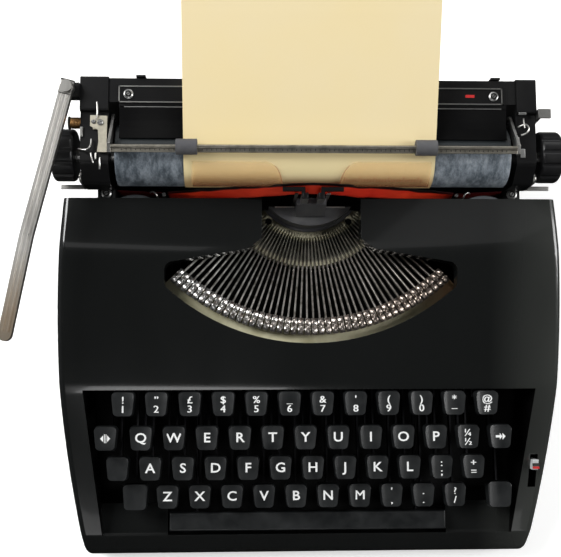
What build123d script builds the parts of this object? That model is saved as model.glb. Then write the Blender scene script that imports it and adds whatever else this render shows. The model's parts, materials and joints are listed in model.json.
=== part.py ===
from build123d import *
from math import cos, radians, sin, sqrt, tan
import os

# A portable manual typewriter. +X is the typist's right, +Y goes to the back, +Z is up.
# The origin is the centre of the four feet, on the surface that they stand on.

# Base and casing
foot_height = 6.0
foot_radius = 9.0
foot_x = 105.0
foot_y = 112.0
pan_thickness = 2.4
pan_top = foot_height + pan_thickness
wall = 2.6
case_front = -138.5
case_rear = 70.0
case_wide_y = -22.0
case_top = 74.0
ridge_y = -38.0
ridge_z = 60.0
lip_y = -126.0
lip_z = 26.0
nose_z = 17.0
nose_trim = 3.0
case_corner = 11.0
case_edge = 4.0
deck_y = 40.0
deck_bend = 60.0
ridge_bend = 40.0
lip_bend = 14.0
nose_bend = 8.0
rear_half = 123.5
rear_end = 133.0
rear_top = 54.0
rear_wall = 2.4

# Keyboard
key_pitch = 19.05
keyboard_x = -1.0
row_offset = [-5.6, -5.1, -4.85, -4.35]
row_count = [12, 11, 11, 10]
row_y = [-47.0, -66.8, -84.9, -102.2]
row_z = [62.0, 54.0, 45.5, 37.0]
cap_back = 14.6
cap_front = 11.6
cap_length = 14.4
cap_height = 5.5
cap_corner = 2.6
cap_draft = 6.0
dish_radius = 22.0
dish_depth = 0.9
shift_wider = 1.4
shift_front_wider = 2.0
shift_right_step = 26.9
margin_key_step = 20.35
lever_thickness = 1.2
lever_height = 5.0
lever_rise = 0.068
stem_width = 5.0
socket_depth = 2.5
socket_gap = 0.1
fulcrum_y = 60.0
fulcrum_z = 16.0
fulcrum_radius = 2.0
running_gap = 0.08
eye_radius = 4.4
comb_y = 24.0
comb_width = 4.0
comb_gap = 0.5
frame_thickness = 2.0
frame_front = 6.0
frame_slope_y = 36.0
frame_slope_z = 30.0
comb_low = 10.0
comb_top = 22.0
comb_floor = 2.0
pin_x = 24.0
pin_y = 61.0
pin_radius = 2.0
pin_top = 47.0
place_g = 4
selector_y = -88.0
selector_low = 27.0
selector_top = 48.0
selector_shoulder = 40.0
selector_width = 3.4
selector_slot = 20.0
selector_gap = 0.6

# Space bar
bar_half = 83.5
bar_y = -118.0
bar_depth = 11.4
bar_z = 28.0
bar_height = 5.0
bar_arm_places = [0.875, 7.875]
bar_arm_z = 19.2
bar_arm_height = 4.0
bar_arm_foot = 4.0


def key_x(row, place):
    return keyboard_x + (row_offset[row] + place) * key_pitch


margin_key_x = key_x(1, 0) - margin_key_step
shift_left_x = key_x(3, -1)
shift_right_x = key_x(3, row_count[3] - 1) + shift_right_step
lock_x = key_x(2, -1)
backspace_x = key_x(1, row_count[1])

# What stands round the keyboard: the well, the cheeks outside it and the frames under it
well_back_half = cap_back / 2 - margin_key_x + 5.2
well_front_half = shift_right_x + (cap_back + shift_wider) / 2 + 1.1
case_wide_half = well_back_half + 14.0
case_rear_half = case_wide_half - 3.5
case_front_half = case_wide_half - 11.0
frame_x = lever_thickness / 2 - margin_key_x + 2.9
selector_x = well_back_half + 2.5

# Type basket: the arcs are seen from above
segment_y = 88.0
moon_radius = 33.0
hub_radius = 31.7
hub_top = 61.5
slot_inner = 37.0
segment_outer = 54.0
segment_half_angle = 60.0
segment_low = 34.0
segment_top = 48.5
slot_floor = 37.0
slot_width = 1.15
bar_count = 44
pivot_radius = 42.0
pivot_z = 42.0
pivot_angle = 56.0
bar_thickness = 0.9
bar_depth_z = 3.6
head_arc = 115.0
head_y = 112.0
head_angle = 42.0
head_z = 58.0
slug_width = 3.0
slug_length = 9.6
slug_height = 6.6
pad_inner = head_arc - 3.0
pad_outer = head_arc + 11.0
pad_flat = 6.0
pad_lip = 1.0
pad_angle = 43.5
pad_thickness = 4.8
opening_radius = head_arc + 9.5
bend_out = 1.0
bar_tail = 2.2
bar_lap = 0.5
slug_groove = 0.8
slug_middle = 3.0
segment_back = 67.5
plate_lap = 0.5
plate_thickness = 1.5
tray_back = 53.0
tray_back_half = 56.0
rest_z = 50.0
rest_thickness = 2.0

# Carriage
platen_y = 92.0
platen_z = 84.0
platen_radius = 17.0
table_half = 107.0
platen_half = table_half + 2.0
shaft_radius = 4.0
press_gap = 0.05
knob_radius = 14.5
knob_width = 12.5
plate_in = table_half + 5.6
plate_left_out = plate_in + 15.4
plate_right_out = plate_in + 11.0
plate_front = 75.2
plate_rear = 132.5
plate_low = 70.6
plate_top = 101.0
bed_z = 58.0
bed_thickness = 3.0
bed_front = 80.0
bed_rear = 132.0
rail_y = 103.0
rail_width = 14.0
rail_low = 48.0
slide_gap = 0.3

# Paper, bail and the parts at the carriage's ends
paper_width = 138.0
paper_x = -2.5
paper_gap = 0.3
paper_thickness = 0.25
paper_lean = 19.0
paper_back = 168.0
paper_tail = 12.0
bail_y = 91.5
bail_z = 107.4
bail_radius = 1.3
bail_pivot_y = 110.0
bail_pivot_z = 92.0
bail_arm_x = plate_in - 1.8
bail_arm_thickness = 1.6
roller_radius = 4.3
roller_width = 11.5
roller_x = [-69.4, 60.3]
table_thickness = 1.2
strip_half = table_half
strip_y = 122.5
strip_width = 10.0
lever_pivot_x = -plate_left_out - 6.2
lever_pivot_y = 124.2
lever_z = 103.4
lever_thick = 4.0
guide_half = 6.5
guide_rear = 69.8
guide_plate_half = 9.0
guide_thickness = 1.4
guide_block_half = 8.5
guide_block_front = 61.5
guide_block_low = hub_top + 0.5
guide_block_top = 76.0
prong_low = 66.0
prong_top = 92.0
prong_in = 2.6
arm_low = 88.0
arm_height = 3.0
arm_rear = 73.2
arm_depth = 2.1
arm_reach = 17.0
card_radius = 18.3
card_thickness = 0.8
card_start = 128.0
card_sweep = 40.0
card_inner = 15.0
card_left = 66.0
card_right = 62.0
vibrator_y = 70.8
vibrator_thickness = 0.7
vibrator_low = 45.0
vibrator_top = 86.0
vibrator_bar = 5.0
vibrator_in = 8.0
vibrator_out = 10.0
spool_x = rear_half - 22.5
spool_y = 53.0
spool_radius = 20.0
spool_low = 55.0
spool_height = 14.0
ribbon_y = 72.6
ribbon_height = 13.0
ribbon_lean = 12.0
ribbon_z = 77.5
ribbon_half = spool_x - 18.5
ribbon_level = 12.0
ribbon_fall = 11.0
ribbon_thickness = 0.3
pack_radius = [17.0, 12.6]
deck_in = spool_x - 25.0
deck_out = rear_half + 0.5
deck_front = 36.0
deck_tongue = 5.0
post_x = ribbon_half + 2.0
post_y = 72.5
post_radius = 1.2
spindle_radius = 2.5
flange_thickness = 1.2
rail_half = rear_half - rear_wall - 0.6
rail_leg_x = 90.0
lug_x = rear_half - 6.0
lug_y = 73.4
lug_width = 11.0
lug_depth = 6.2
lug_height = 15.0
bed_lip = 3.5
block_front = 113.0
plate_shoulder = 98.0
feed_y = [81.0, 103.0]
feed_z = 65.1
feed_radius = 3.9
feed_shaft_radius = 1.5
feed_shaft_lap = 6.0
feed_spacing = 70.0
feed_width = 36.0
ear_low = 96.0
ear_half = 4.2
pivot_pin_radius = 1.7
lever_eye = 3.9
lever_width = 7.0
bail_stud = 1.5
bail_eye = 3.5
bail_strip_width = 2.2
bail_strip_thickness = 0.8
bail_strip_lap = 0.4
knob_left_out = 144.4
knob_right_in = 127.2
knob_round = 2.2
flute_radius = 2.0
flute_count = 12
table_foot_y = 111.0
table_bend_z = 92.0
table_flat_y = 116.0
table_rear = 131.5
table_top = 100.2
strip_thickness = 0.8
margin_y = 124.0
margin_z = 94.0
margin_radius = 2.0
margin_stop_half = 2.6
margin_left_x = -95.0
margin_right_x = 101.0
stop_tab = 1.2
stop_rear = table_rear + slide_gap + stop_tab
stop_top = 101.6
release_y = 112.0
release_z = 86.0
release_top = 103.0
release_thickness = 1.6
release_reach = 7.0
tab_pivot_y = 79.0
tab_pivot_z = 88.0
tab_front = 75.4
tab_rear = 77.8
tab_z = 71.0
tab_thickness = 1.2
tab_reach = 14.5

os.makedirs("parts", exist_ok=True)


def outline(inset, front, rear):
    """Plan of the casing: sides that bow out a little and narrow to the front."""
    with BuildSketch() as plan:
        with BuildLine():
            left = ThreePointArc(
                (inset - case_rear_half, rear),
                (inset - case_wide_half, case_wide_y),
                (inset - case_front_half, front + inset),
            )
            right = ThreePointArc(
                (case_front_half - inset, front + inset),
                (case_wide_half - inset, case_wide_y),
                (case_rear_half - inset, rear),
            )
            Line(left @ 1, right @ 0)
            Line(right @ 1, left @ 0)
        make_face()
        front_corners = plan.vertices().group_by(Axis.Y)[0]
        fillet(front_corners, case_corner)
    return plan.sketch


def casing_block(inset, low):
    """The casing's outer form, or with an inset the hollow inside it."""
    rear = case_rear + inset * 2
    front = case_front + inset
    clear_of = 10
    plan = outline(inset, case_front - nose_trim, rear)
    with BuildPart() as block:
        with BuildSketch(Plane.XY.offset(low)):
            add(plan)
        extrude(amount=case_top)
        with BuildSketch(Plane.YZ):
            with BuildLine():
                FilletPolyline(
                    (rear + clear_of, case_top - inset),
                    (deck_y, case_top - inset),
                    (ridge_y - inset / 2, ridge_z - inset),
                    (lip_y, lip_z - inset),
                    (front, nose_z - inset),
                    (front, low - clear_of),
                    radius=[deck_bend, ridge_bend, lip_bend, nose_bend - inset],
                )
                Polyline(
                    (front, low - clear_of),
                    (front - clear_of, low - clear_of),
                    (front - clear_of, case_top + clear_of),
                    (rear + clear_of, case_top + clear_of),
                    (rear + clear_of, case_top - inset),
                )
            make_face()
        extrude(amount=case_wide_half + clear_of, both=True, mode=Mode.SUBTRACT)
        if inset == 0:
            deck = block.faces().filter_by(lambda f: f.normal_at().Z > 0.1)
            shoulder = deck.edges().filter_by(
                lambda e: abs(e.center().X) > case_front_half - case_corner
            )
            fillet(shoulder, case_edge)
    return block.part


# The basket's opening: a neck at the rear that spreads into two wings over a long arc
neck_half = 28.4
neck_y = 47.0
wing_half = head_arc * sin(radians(head_angle)) + 7.0
wing_y = 33.0
wing_low_y = head_y - sqrt(opening_radius**2 - wing_half**2)
wing_corner = 5.0
flare = 8.0
flare_drop = 6.0
rim_wall = 1.8
basket_rim_depth = 12.0
well_rim_depth = 7.0
shelf_z = 21.0
shelf_back = -108.0

casing_outside = casing_block(0, pan_top)
casing_inside = casing_block(wall, pan_top - 1)

def basket_opening(grow):
    """Plan of the opening over the typebars, grown all round."""
    with BuildSketch() as plan:
        with BuildLine():
            Polyline(
                (wing_half, wing_low_y),
                (wing_half, wing_y),
                (neck_half + flare, neck_y - flare_drop),
                (neck_half, neck_y),
                (neck_half, case_rear + 5),
                (-neck_half, case_rear + 5),
                (-neck_half, neck_y),
                (-neck_half - flare, neck_y - flare_drop),
                (-wing_half, wing_y),
                (-wing_half, wing_low_y),
            )
            ThreePointArc(
                (-wing_half, wing_low_y),
                (0, head_y - opening_radius),
                (wing_half, wing_low_y),
            )
        make_face()
        wing_ends = plan.vertices().filter_by(lambda v: abs(v.X) > wing_half - 1)
        fillet(wing_ends, wing_corner)
        if grow:
            offset(amount=grow, kind=Kind.INTERSECTION)
    return plan.sketch


def keyboard_opening(grow):
    """Plan of the keyboard's well, grown all round."""
    with BuildSketch() as plan:
        with BuildLine():
            Polyline(
                (-well_back_half, ridge_y - 1),
                (-well_front_half, lip_y),
                (well_front_half, lip_y),
                (well_back_half, ridge_y - 1),
                close=True,
            )
        make_face()
        if grow:
            offset(amount=grow, kind=Kind.INTERSECTION)
    return plan.sketch


basket_hole = basket_opening(0)
basket_rim = basket_opening(rim_wall)
well_hole = keyboard_opening(0)
well_rim = keyboard_opening(rim_wall)

with BuildPart() as opening_rims:
    with BuildSketch(Plane.XY.offset(case_top - basket_rim_depth)):
        add(basket_rim)
        add(basket_hole, mode=Mode.SUBTRACT)
    extrude(amount=basket_rim_depth)
    with BuildSketch(Plane.XY.offset(shelf_z - wall)):
        add(well_rim)
        add(well_hole, mode=Mode.SUBTRACT)
    extrude(amount=ridge_z)
    with Locations((0, ridge_y, ridge_z - well_rim_depth - case_top / 2)):
        Box(2 * well_back_half - well_rim_depth, 4 * well_rim_depth, case_top, mode=Mode.SUBTRACT)
    add(casing_outside, mode=Mode.INTERSECT)

with BuildPart() as top_cover:
    add(casing_outside)
    add(casing_inside, mode=Mode.SUBTRACT)
    with BuildSketch(Plane.XY.offset(pan_top + 2)):
        add(basket_hole)
        add(well_hole)
    extrude(amount=case_top, mode=Mode.SUBTRACT)
    add(opening_rims.part)
    with BuildSketch(Plane.XY.offset(shelf_z - wall)):
        with Locations((0, (lip_y + shelf_back) / 2)):
            Rectangle(2 * well_front_half + 3, shelf_back - lip_y + 1)
            Rectangle(2 * bar_half + 2.4, shelf_back - lip_y + 3, mode=Mode.SUBTRACT)
    extrude(amount=wall)
    with Locations((0, case_rear, (rear_top + pan_top) / 2)):
        Box(2 * rear_half - 4, 12, rear_top + 12 - pan_top, mode=Mode.SUBTRACT)
    with Locations((selector_x, selector_y, ridge_z)):
        Box(selector_width + 2 * selector_gap, selector_slot, ridge_z, mode=Mode.SUBTRACT)
top_cover.part.label = "top_cover"
export_step(top_cover.part, "parts/top_cover.step")

pan_plan = outline(0, case_front, case_rear)

with BuildPart() as base_pan:
    with BuildSketch(Plane.XY.offset(foot_height)):
        add(pan_plan)
        with Locations((0, (case_rear + rear_end) / 2 - 1)):
            Rectangle(2 * rear_half, rear_end - case_rear + 2)
    extrude(amount=pan_thickness)
base_pan.part.label = "base_pan"
export_step(base_pan.part, "parts/base_pan.step")

with BuildPart() as rubber_feet:
    with BuildSketch():
        with GridLocations(2 * foot_x, 2 * foot_y, 2, 2):
            Circle(foot_radius)
    extrude(amount=foot_height, taper=-4)
rubber_feet.part.label = "rubber_feet"
export_step(rubber_feet.part, "parts/rubber_feet.step")

with BuildPart() as rear_housing:
    with BuildSketch(Plane.XY.offset(pan_top)):
        with Locations((0, (case_rear + rear_end) / 2 + 0.2)):
            Rectangle(2 * rear_half, rear_end - case_rear - 0.4)
        with Locations((0, (case_rear + rear_end) / 2 - rear_wall)):
            Rectangle(2 * (rear_half - rear_wall), rear_end - case_rear, mode=Mode.SUBTRACT)
    extrude(amount=rear_top - pan_top)
    fillet(rear_housing.edges().filter_by(Axis.Z).group_by(Axis.Y)[-1], 2.0)
rear_housing.part.label = "rear_housing"
export_step(rear_housing.part, "parts/rear_housing.step")

# Frames inside the casing, the shaft that every key lever turns on, and the comb that spaces the levers
beam_front = 55.0
beam_rear = 66.5
beam_low = 24.0
beam_top = 27.6
deck_z = 50.0
deck_thickness = 2.0


def side_frame(side):
    with BuildPart() as frame:
        with BuildSketch(Plane.YZ.offset(side * frame_x)):
            with BuildLine():
                Polyline(
                    (frame_front, pan_top),
                    (beam_rear, pan_top),
                    (beam_rear, deck_z),
                    (frame_slope_y, deck_z),
                    (frame_front, frame_slope_z),
                    close=True,
                )
            make_face()
            with Locations((fulcrum_y, fulcrum_z)):
                Circle(fulcrum_radius + running_gap, mode=Mode.SUBTRACT)
        extrude(amount=side * frame_thickness)
    return frame


side_frame_left = side_frame(-1)
side_frame_left.part.label = "side_frame_left"
export_step(side_frame_left.part, "parts/side_frame_left.step")

side_frame_right = side_frame(1)
side_frame_right.part.label = "side_frame_right"
export_step(side_frame_right.part, "parts/side_frame_right.step")

with BuildPart() as fulcrum_rod:
    with BuildSketch(Plane.YZ):
        with Locations((fulcrum_y, fulcrum_z)):
            Circle(fulcrum_radius)
    extrude(amount=frame_x + frame_thickness, both=True)
fulcrum_rod.part.label = "fulcrum_rod"
export_step(fulcrum_rod.part, "parts/fulcrum_rod.step")

with BuildPart() as cross_beam:
    with BuildSketch(Plane.XY.offset(beam_low)):
        with Locations((0, (beam_front + beam_rear) / 2)):
            Rectangle(2 * frame_x, beam_rear - beam_front)
    extrude(amount=beam_top - beam_low)
    with BuildSketch(Plane.XY.offset(beam_top)):
        with Locations((-pin_x, pin_y), (pin_x, pin_y)):
            Circle(pin_radius)
    extrude(amount=pin_top - beam_top)
cross_beam.part.label = "cross_beam"
export_step(cross_beam.part, "parts/cross_beam.step")


def lever_z_at(y):
    return fulcrum_z + (fulcrum_y - y) * lever_rise


lever_places = [key_x(row, place) for row in range(4) for place in range(row_count[row])]
bar_arm_x = [key_x(3, place) for place in bar_arm_places]
other_places = [shift_left_x, shift_right_x, lock_x, backspace_x, margin_key_x] + bar_arm_x

with BuildPart() as lever_comb:
    with BuildSketch(Plane.XY.offset(comb_low)):
        with Locations((0, comb_y)):
            Rectangle(2 * frame_x, comb_width)
    extrude(amount=comb_top - comb_low)
    with BuildSketch(Plane.XY.offset(comb_low + comb_floor)):
        with Locations(*[(x, comb_y) for x in lever_places + other_places]):
            Rectangle(lever_thickness + 2 * comb_gap, comb_width + 2)
    extrude(amount=comb_top - comb_low, mode=Mode.SUBTRACT)
lever_comb.part.label = "lever_comb"
export_step(lever_comb.part, "parts/lever_comb.step")

# Keys: a dished cap is pushed on the stem of a flat lever
def cap_form(back, front, length):
    """A cap with its top at z = 0, its middle over the origin and a socket for the stem."""
    with BuildPart() as cap:
        with BuildSketch(Plane.XY.offset(-cap_height)):
            with BuildLine():
                Polyline(
                    (-back / 2, length / 2),
                    (-front / 2, -length / 2),
                    (front / 2, -length / 2),
                    (back / 2, length / 2),
                    close=True,
                )
            make_face()
        extrude(amount=cap_height, taper=cap_draft)
        fillet(cap.edges().filter_by(lambda e: abs(e.tangent_at(0.5).Z) > 0.7), cap_corner)
        with Locations((0, 0, dish_radius - dish_depth)):
            Cylinder(dish_radius, length + 2, rotation=(90, 0, 0), mode=Mode.SUBTRACT)
        with Locations((0, 0, -cap_height + socket_depth / 2)):
            Box(
                lever_thickness + 2 * socket_gap,
                stem_width + 2 * socket_gap,
                socket_depth,
                mode=Mode.SUBTRACT,
            )
    return cap


def lever_form(y, top):
    """A lever in the plane x = 0, from its eye on the shaft to a stem under the cap at y."""
    end = y - stem_width / 2
    with BuildPart() as lever:
        with BuildSketch(Plane.YZ):
            with BuildLine():
                Polyline(
                    (fulcrum_y, fulcrum_z + lever_height / 2),
                    (end + stem_width, lever_z_at(end + stem_width) + lever_height / 2),
                    (end + stem_width, top - cap_height + socket_depth - socket_gap),
                    (end, top - cap_height + socket_depth - socket_gap),
                    (end, lever_z_at(end) - lever_height / 2),
                    (fulcrum_y, fulcrum_z - lever_height / 2),
                    close=True,
                )
            make_face()
            with Locations((fulcrum_y, fulcrum_z)):
                Circle(eye_radius)
                Circle(fulcrum_radius + running_gap, mode=Mode.SUBTRACT)
        extrude(amount=lever_thickness / 2, both=True)
    return lever


letter_cap = cap_form(cap_back, cap_front, cap_length)
shift_cap = cap_form(cap_back + shift_wider, cap_front + shift_front_wider, cap_length + shift_wider)


def keys(row, places, cap=letter_cap):
    """Keys of one row, at the given x places."""
    lever = lever_form(row_y[row], row_z[row])
    with BuildPart() as group:
        with Locations(*[(x, row_y[row], row_z[row]) for x in places]):
            add(cap.part)
        with Locations(*[(x, 0, 0) for x in places]):
            add(lever.part)
    return group


def row_places(row, *left_out):
    return [key_x(row, place) for place in range(row_count[row]) if place not in left_out]


number_row_keys = keys(0, row_places(0))
number_row_keys.part.label = "number_row_keys"
export_step(number_row_keys.part, "parts/number_row_keys.step")

top_row_keys = keys(1, row_places(1))
top_row_keys.part.label = "top_row_keys"
export_step(top_row_keys.part, "parts/top_row_keys.step")

home_row_keys = keys(2, row_places(2, place_g))
home_row_keys.part.label = "home_row_keys"
export_step(home_row_keys.part, "parts/home_row_keys.step")

bottom_row_keys = keys(3, row_places(3))
bottom_row_keys.part.label = "bottom_row_keys"
export_step(bottom_row_keys.part, "parts/bottom_row_keys.step")

key_g = keys(2, [key_x(2, place_g)])
key_g.part.label = "key_g"
export_step(key_g.part, "parts/key_g.step")

shift_keys = keys(3, [shift_left_x, shift_right_x], shift_cap)
shift_keys.part.label = "shift_keys"
export_step(shift_keys.part, "parts/shift_keys.step")

shift_lock_key = keys(2, [lock_x])
shift_lock_key.part.label = "shift_lock_key"
export_step(shift_lock_key.part, "parts/shift_lock_key.step")

backspace_key = keys(1, [backspace_x])
backspace_key.part.label = "backspace_key"
export_step(backspace_key.part, "parts/backspace_key.step")

margin_release_key = keys(1, [margin_key_x])
margin_release_key.part.label = "margin_release_key"
export_step(margin_release_key.part, "parts/margin_release_key.step")

with BuildPart() as space_bar:
    with BuildSketch(Plane.XY.offset(bar_z - bar_height)):
        with Locations((0, bar_y)):
            Rectangle(2 * bar_half, bar_depth)
    extrude(amount=bar_height, taper=3)
    fillet(space_bar.faces().sort_by(Axis.Z)[-1].edges(), 1.2)
    for x in bar_arm_x:
        with BuildSketch(Plane.YZ.offset(x)):
            with BuildLine():
                Polyline(
                    (fulcrum_y, fulcrum_z + lever_height / 2),
                    (bar_y + bar_arm_foot, bar_arm_z + bar_arm_height / 2),
                    (bar_y + bar_arm_foot, bar_z - bar_height / 2),
                    (bar_y - bar_arm_foot, bar_z - bar_height / 2),
                    (bar_y - bar_arm_foot, bar_arm_z - bar_arm_height / 2),
                    (fulcrum_y, fulcrum_z - lever_height / 2),
                    close=True,
                )
            make_face()
            with Locations((fulcrum_y, fulcrum_z)):
                Circle(eye_radius)
                Circle(fulcrum_radius + running_gap, mode=Mode.SUBTRACT)
        extrude(amount=lever_thickness / 2, both=True)
space_bar.part.label = "space_bar"
export_step(space_bar.part, "parts/space_bar.step")

with BuildPart() as colour_selector:
    with BuildSketch(Plane.YZ.offset(selector_x)):
        with BuildLine():
            Polyline(
                (selector_y + 5, selector_low),
                (selector_y + 7, selector_low),
                (selector_y + 7, selector_top),
                (selector_y + 1, selector_top - 2.4),
                (selector_y + 1, selector_shoulder),
                (selector_y + 5, selector_shoulder),
                close=True,
            )
        make_face()
    extrude(amount=selector_width / 2, both=True)
colour_selector.part.label = "colour_selector"
export_step(colour_selector.part, "parts/colour_selector.step")

# Type basket: a slotted segment, typebars that fan out to a felt rest, all carried by one tray
bar_step = 2 / (bar_count - 1)


def on_arc(radius, middle_y, half_angle, share):
    """Point on an arc that bows to the front; share runs from -1 at the left to 1 at the right."""
    angle = radians(half_angle * share)
    return Vector(radius * sin(angle), middle_y - radius * cos(angle))


def arc_band(inner, outer, middle_y, half_angle):
    """Plan of a band between two arcs about (0, middle_y), open at the back."""
    with BuildSketch() as band:
        with BuildLine():
            far = ThreePointArc(*[on_arc(outer, middle_y, half_angle, s) for s in (-1, 0, 1)])
            near = ThreePointArc(*[on_arc(inner, middle_y, half_angle, s) for s in (1, 0, -1)])
            Line(far @ 1, near @ 0)
            Line(near @ 1, far @ 0)
        make_face()
    return band.sketch


def bar_path(share):
    """Pivot, bend and head of one typebar."""
    pivot = on_arc(pivot_radius, segment_y, pivot_angle, share)
    bend = on_arc(segment_outer + bend_out, segment_y, pivot_angle, share)
    head = on_arc(head_arc, head_y, head_angle, share)
    reach = (bend - pivot).length + (head - bend).length
    bend_z = pivot_z + (head_z - pivot_z) * (bend - pivot).length / reach
    return (
        Vector(pivot.X, pivot.Y, pivot_z),
        Vector(bend.X, bend.Y, bend_z),
        Vector(head.X, head.Y, head_z),
    )


def upright(start, end):
    """Plane through a run, with its x along the run seen from above and its y up."""
    flat = Vector(end.X - start.X, end.Y - start.Y, 0).normalized()
    return Plane(origin=start, x_dir=flat, z_dir=flat.cross(Vector(0, 0, 1)))


def typebar(share):
    pivot, bend, head = bar_path(share)
    half = bar_depth_z / 2
    with BuildPart() as bar:
        for start, end, low, past in (
            (pivot, bend, -bar_tail, bar_lap),
            (bend, head, -bar_lap, slug_length / 2),
        ):
            run = Vector(end.X - start.X, end.Y - start.Y).length
            slope = (end.Z - start.Z) / run
            high = run + past
            with BuildSketch(upright(start, end)):
                with BuildLine():
                    Polyline(
                        (low, low * slope - half),
                        (high, high * slope - half),
                        (high, high * slope + half),
                        (low, low * slope + half),
                        close=True,
                    )
                make_face()
            extrude(amount=bar_thickness / 2, both=True)
        with BuildSketch(upright(bend, head)):
            with Locations((run, run * slope + slug_middle)):
                Rectangle(slug_length, slug_height)
            with Locations((run, run * slope + slug_middle + slug_height / 2)):
                Rectangle(2 * slug_groove, 2 * slug_groove, mode=Mode.SUBTRACT)
        extrude(amount=slug_width / 2, both=True)
    return bar


bar_shares = [-1 + place * bar_step for place in range(bar_count)]
bar_g = bar_shares[bar_count // 2 - 1]

typebar_g = typebar(bar_g)
typebar_g.part.label = "typebar_g"
export_step(typebar_g.part, "parts/typebar_g.step")

with BuildPart() as typebars:
    add([typebar(share).part for share in bar_shares if share != bar_g])
typebars.part.label = "typebars"
export_step(typebars.part, "parts/typebars.step")

slot_cuts = []
for share in bar_shares:
    pivot, bend, head = bar_path(share)
    with BuildPart() as slot:
        with BuildSketch(upright(pivot, bend)):
            with Locations((segment_outer - pivot_radius, 0)):
                Rectangle(2 * (segment_outer - slot_inner), 40)
        extrude(amount=slot_width / 2, both=True)
    slot_cuts.append(slot.part)

segment_plan = arc_band(moon_radius, segment_outer, segment_y, segment_half_angle)
slotted_plan = arc_band(slot_inner, segment_outer + 1, segment_y, segment_half_angle + 5)

with BuildPart() as slot_comb:
    with BuildSketch(Plane.XY.offset(slot_floor)):
        add(slotted_plan)
    extrude(amount=segment_top)
    add(Compound(children=slot_cuts), mode=Mode.INTERSECT)

with BuildPart() as type_segment:
    with BuildSketch(Plane.XY.offset(segment_low)):
        add(segment_plan)
        with Locations((-pin_x, pin_y), (pin_x, pin_y)):
            Circle(pin_radius + running_gap, mode=Mode.SUBTRACT)
    extrude(amount=segment_top - segment_low)
    add(slot_comb.part, mode=Mode.SUBTRACT)
    with Locations((0, segment_back + segment_outer / 2, segment_top)):
        Box(3 * segment_outer, segment_outer, segment_top, mode=Mode.SUBTRACT)
type_segment.part.label = "type_segment"
export_step(type_segment.part, "parts/type_segment.step")

# The basket's plates, and the felt that the typebars rest on
with BuildPart() as segment_plate:
    with BuildSketch(Plane.XY.offset(segment_top)):
        with Locations((0, segment_y)):
            Circle(moon_radius + plate_lap)
        with Locations((0, segment_back + moon_radius)):
            Rectangle(3 * moon_radius, 2 * moon_radius, mode=Mode.SUBTRACT)
    extrude(amount=plate_thickness)
    with BuildSketch(Plane.XY.offset(segment_top)):
        with Locations((0, segment_y)):
            Circle(hub_radius)
        with Locations((0, segment_back + moon_radius)):
            Rectangle(3 * moon_radius, 2 * moon_radius, mode=Mode.SUBTRACT)
    extrude(amount=hub_top - segment_top)
segment_plate.part.label = "segment_plate"
export_step(segment_plate.part, "parts/segment_plate.step")

with BuildPart() as basket_tray:
    with BuildSketch(Plane.XY.offset(segment_low - plate_thickness)):
        with BuildLine():
            brim = ThreePointArc(*[on_arc(pad_outer, head_y, pad_angle, s) for s in (-1, 0, 1)])
            Polyline(brim @ 1, (tray_back_half, tray_back), (-tray_back_half, tray_back), brim @ 0)
        make_face()
    extrude(amount=plate_thickness)
basket_tray.part.label = "basket_tray"
export_step(basket_tray.part, "parts/basket_tray.step")

with BuildPart() as type_rest:
    with BuildSketch(Plane.XY.offset(rest_z)):
        add(arc_band(pad_inner, pad_outer, head_y, pad_angle))
    extrude(amount=rest_thickness)
    with BuildSketch(Plane.XY.offset(segment_low)):
        add(arc_band(pad_outer - rest_thickness, pad_outer, head_y, pad_angle))
    extrude(amount=rest_z - segment_low)
type_rest.part.label = "type_rest"
export_step(type_rest.part, "parts/type_rest.step")

pad_low = rest_z + rest_thickness
first_ray = on_arc(1, 0, pad_angle, -1)
with BuildPart() as type_pad:
    with BuildSketch(
        Plane(origin=(0, head_y, 0), x_dir=first_ray, z_dir=first_ray.cross(Vector(0, 0, 1)))
    ):
        with BuildLine():
            Polyline(
                (pad_inner, pad_low),
                (pad_outer, pad_low),
                (pad_outer, pad_low + pad_thickness),
                (pad_outer - pad_flat, pad_low + pad_thickness),
                (pad_inner, pad_low + pad_lip),
                close=True,
            )
        make_face()
    revolve(axis=Axis((0, head_y, 0), (0, 0, 1)), revolution_arc=2 * pad_angle)
type_pad.part.label = "type_pad"
export_step(type_pad.part, "parts/type_pad.step")

# The guide that centres each typebar at the platen, with two arms that hold the card guides
with BuildPart() as type_guide:
    with BuildSketch(Plane.XY.offset(beam_low)):
        with Locations((0, (beam_rear + guide_rear) / 2)):
            Rectangle(2 * guide_plate_half, guide_rear - beam_rear)
    extrude(amount=beam_top - beam_low)
    with BuildSketch(Plane.XZ.offset(-guide_rear)):
        with Locations((0, (beam_low + prong_low) / 2)):
            Rectangle(2 * guide_plate_half, prong_low - beam_low)
    extrude(amount=guide_thickness)
    with BuildSketch(Plane.YZ.offset(-guide_block_half)):
        with BuildLine():
            Polyline(
                (guide_block_front, guide_block_low),
                (guide_block_front, guide_block_low + 2.5),
                (guide_block_front + 4.5, guide_block_top),
                (guide_rear, guide_block_top),
                (guide_rear, guide_block_low),
                close=True,
            )
        make_face()
    extrude(amount=2 * guide_block_half)
    for side in (-1, 1):
        with BuildSketch(Plane.XZ.offset(-guide_rear)):
            with Locations((side * (prong_in + guide_half) / 2, (prong_low + prong_top) / 2)):
                Rectangle(guide_half - prong_in, prong_top - prong_low)
        extrude(amount=guide_rear - beam_rear)
        with BuildSketch(Plane.XY.offset(arm_low)):
            with Locations((side * (guide_half - 1), (beam_rear + arm_rear) / 2)):
                Rectangle(2, arm_rear - beam_rear)
            with Locations((side * (guide_half + arm_reach) / 2, arm_rear - arm_depth / 2)):
                Rectangle(arm_reach - guide_half, arm_depth)
        extrude(amount=arm_height)
    fillet(type_guide.edges().filter_by(Axis.Y).group_by(Axis.Z)[-1], 1.2)
type_guide.part.label = "type_guide"
export_step(type_guide.part, "parts/type_guide.step")


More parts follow.
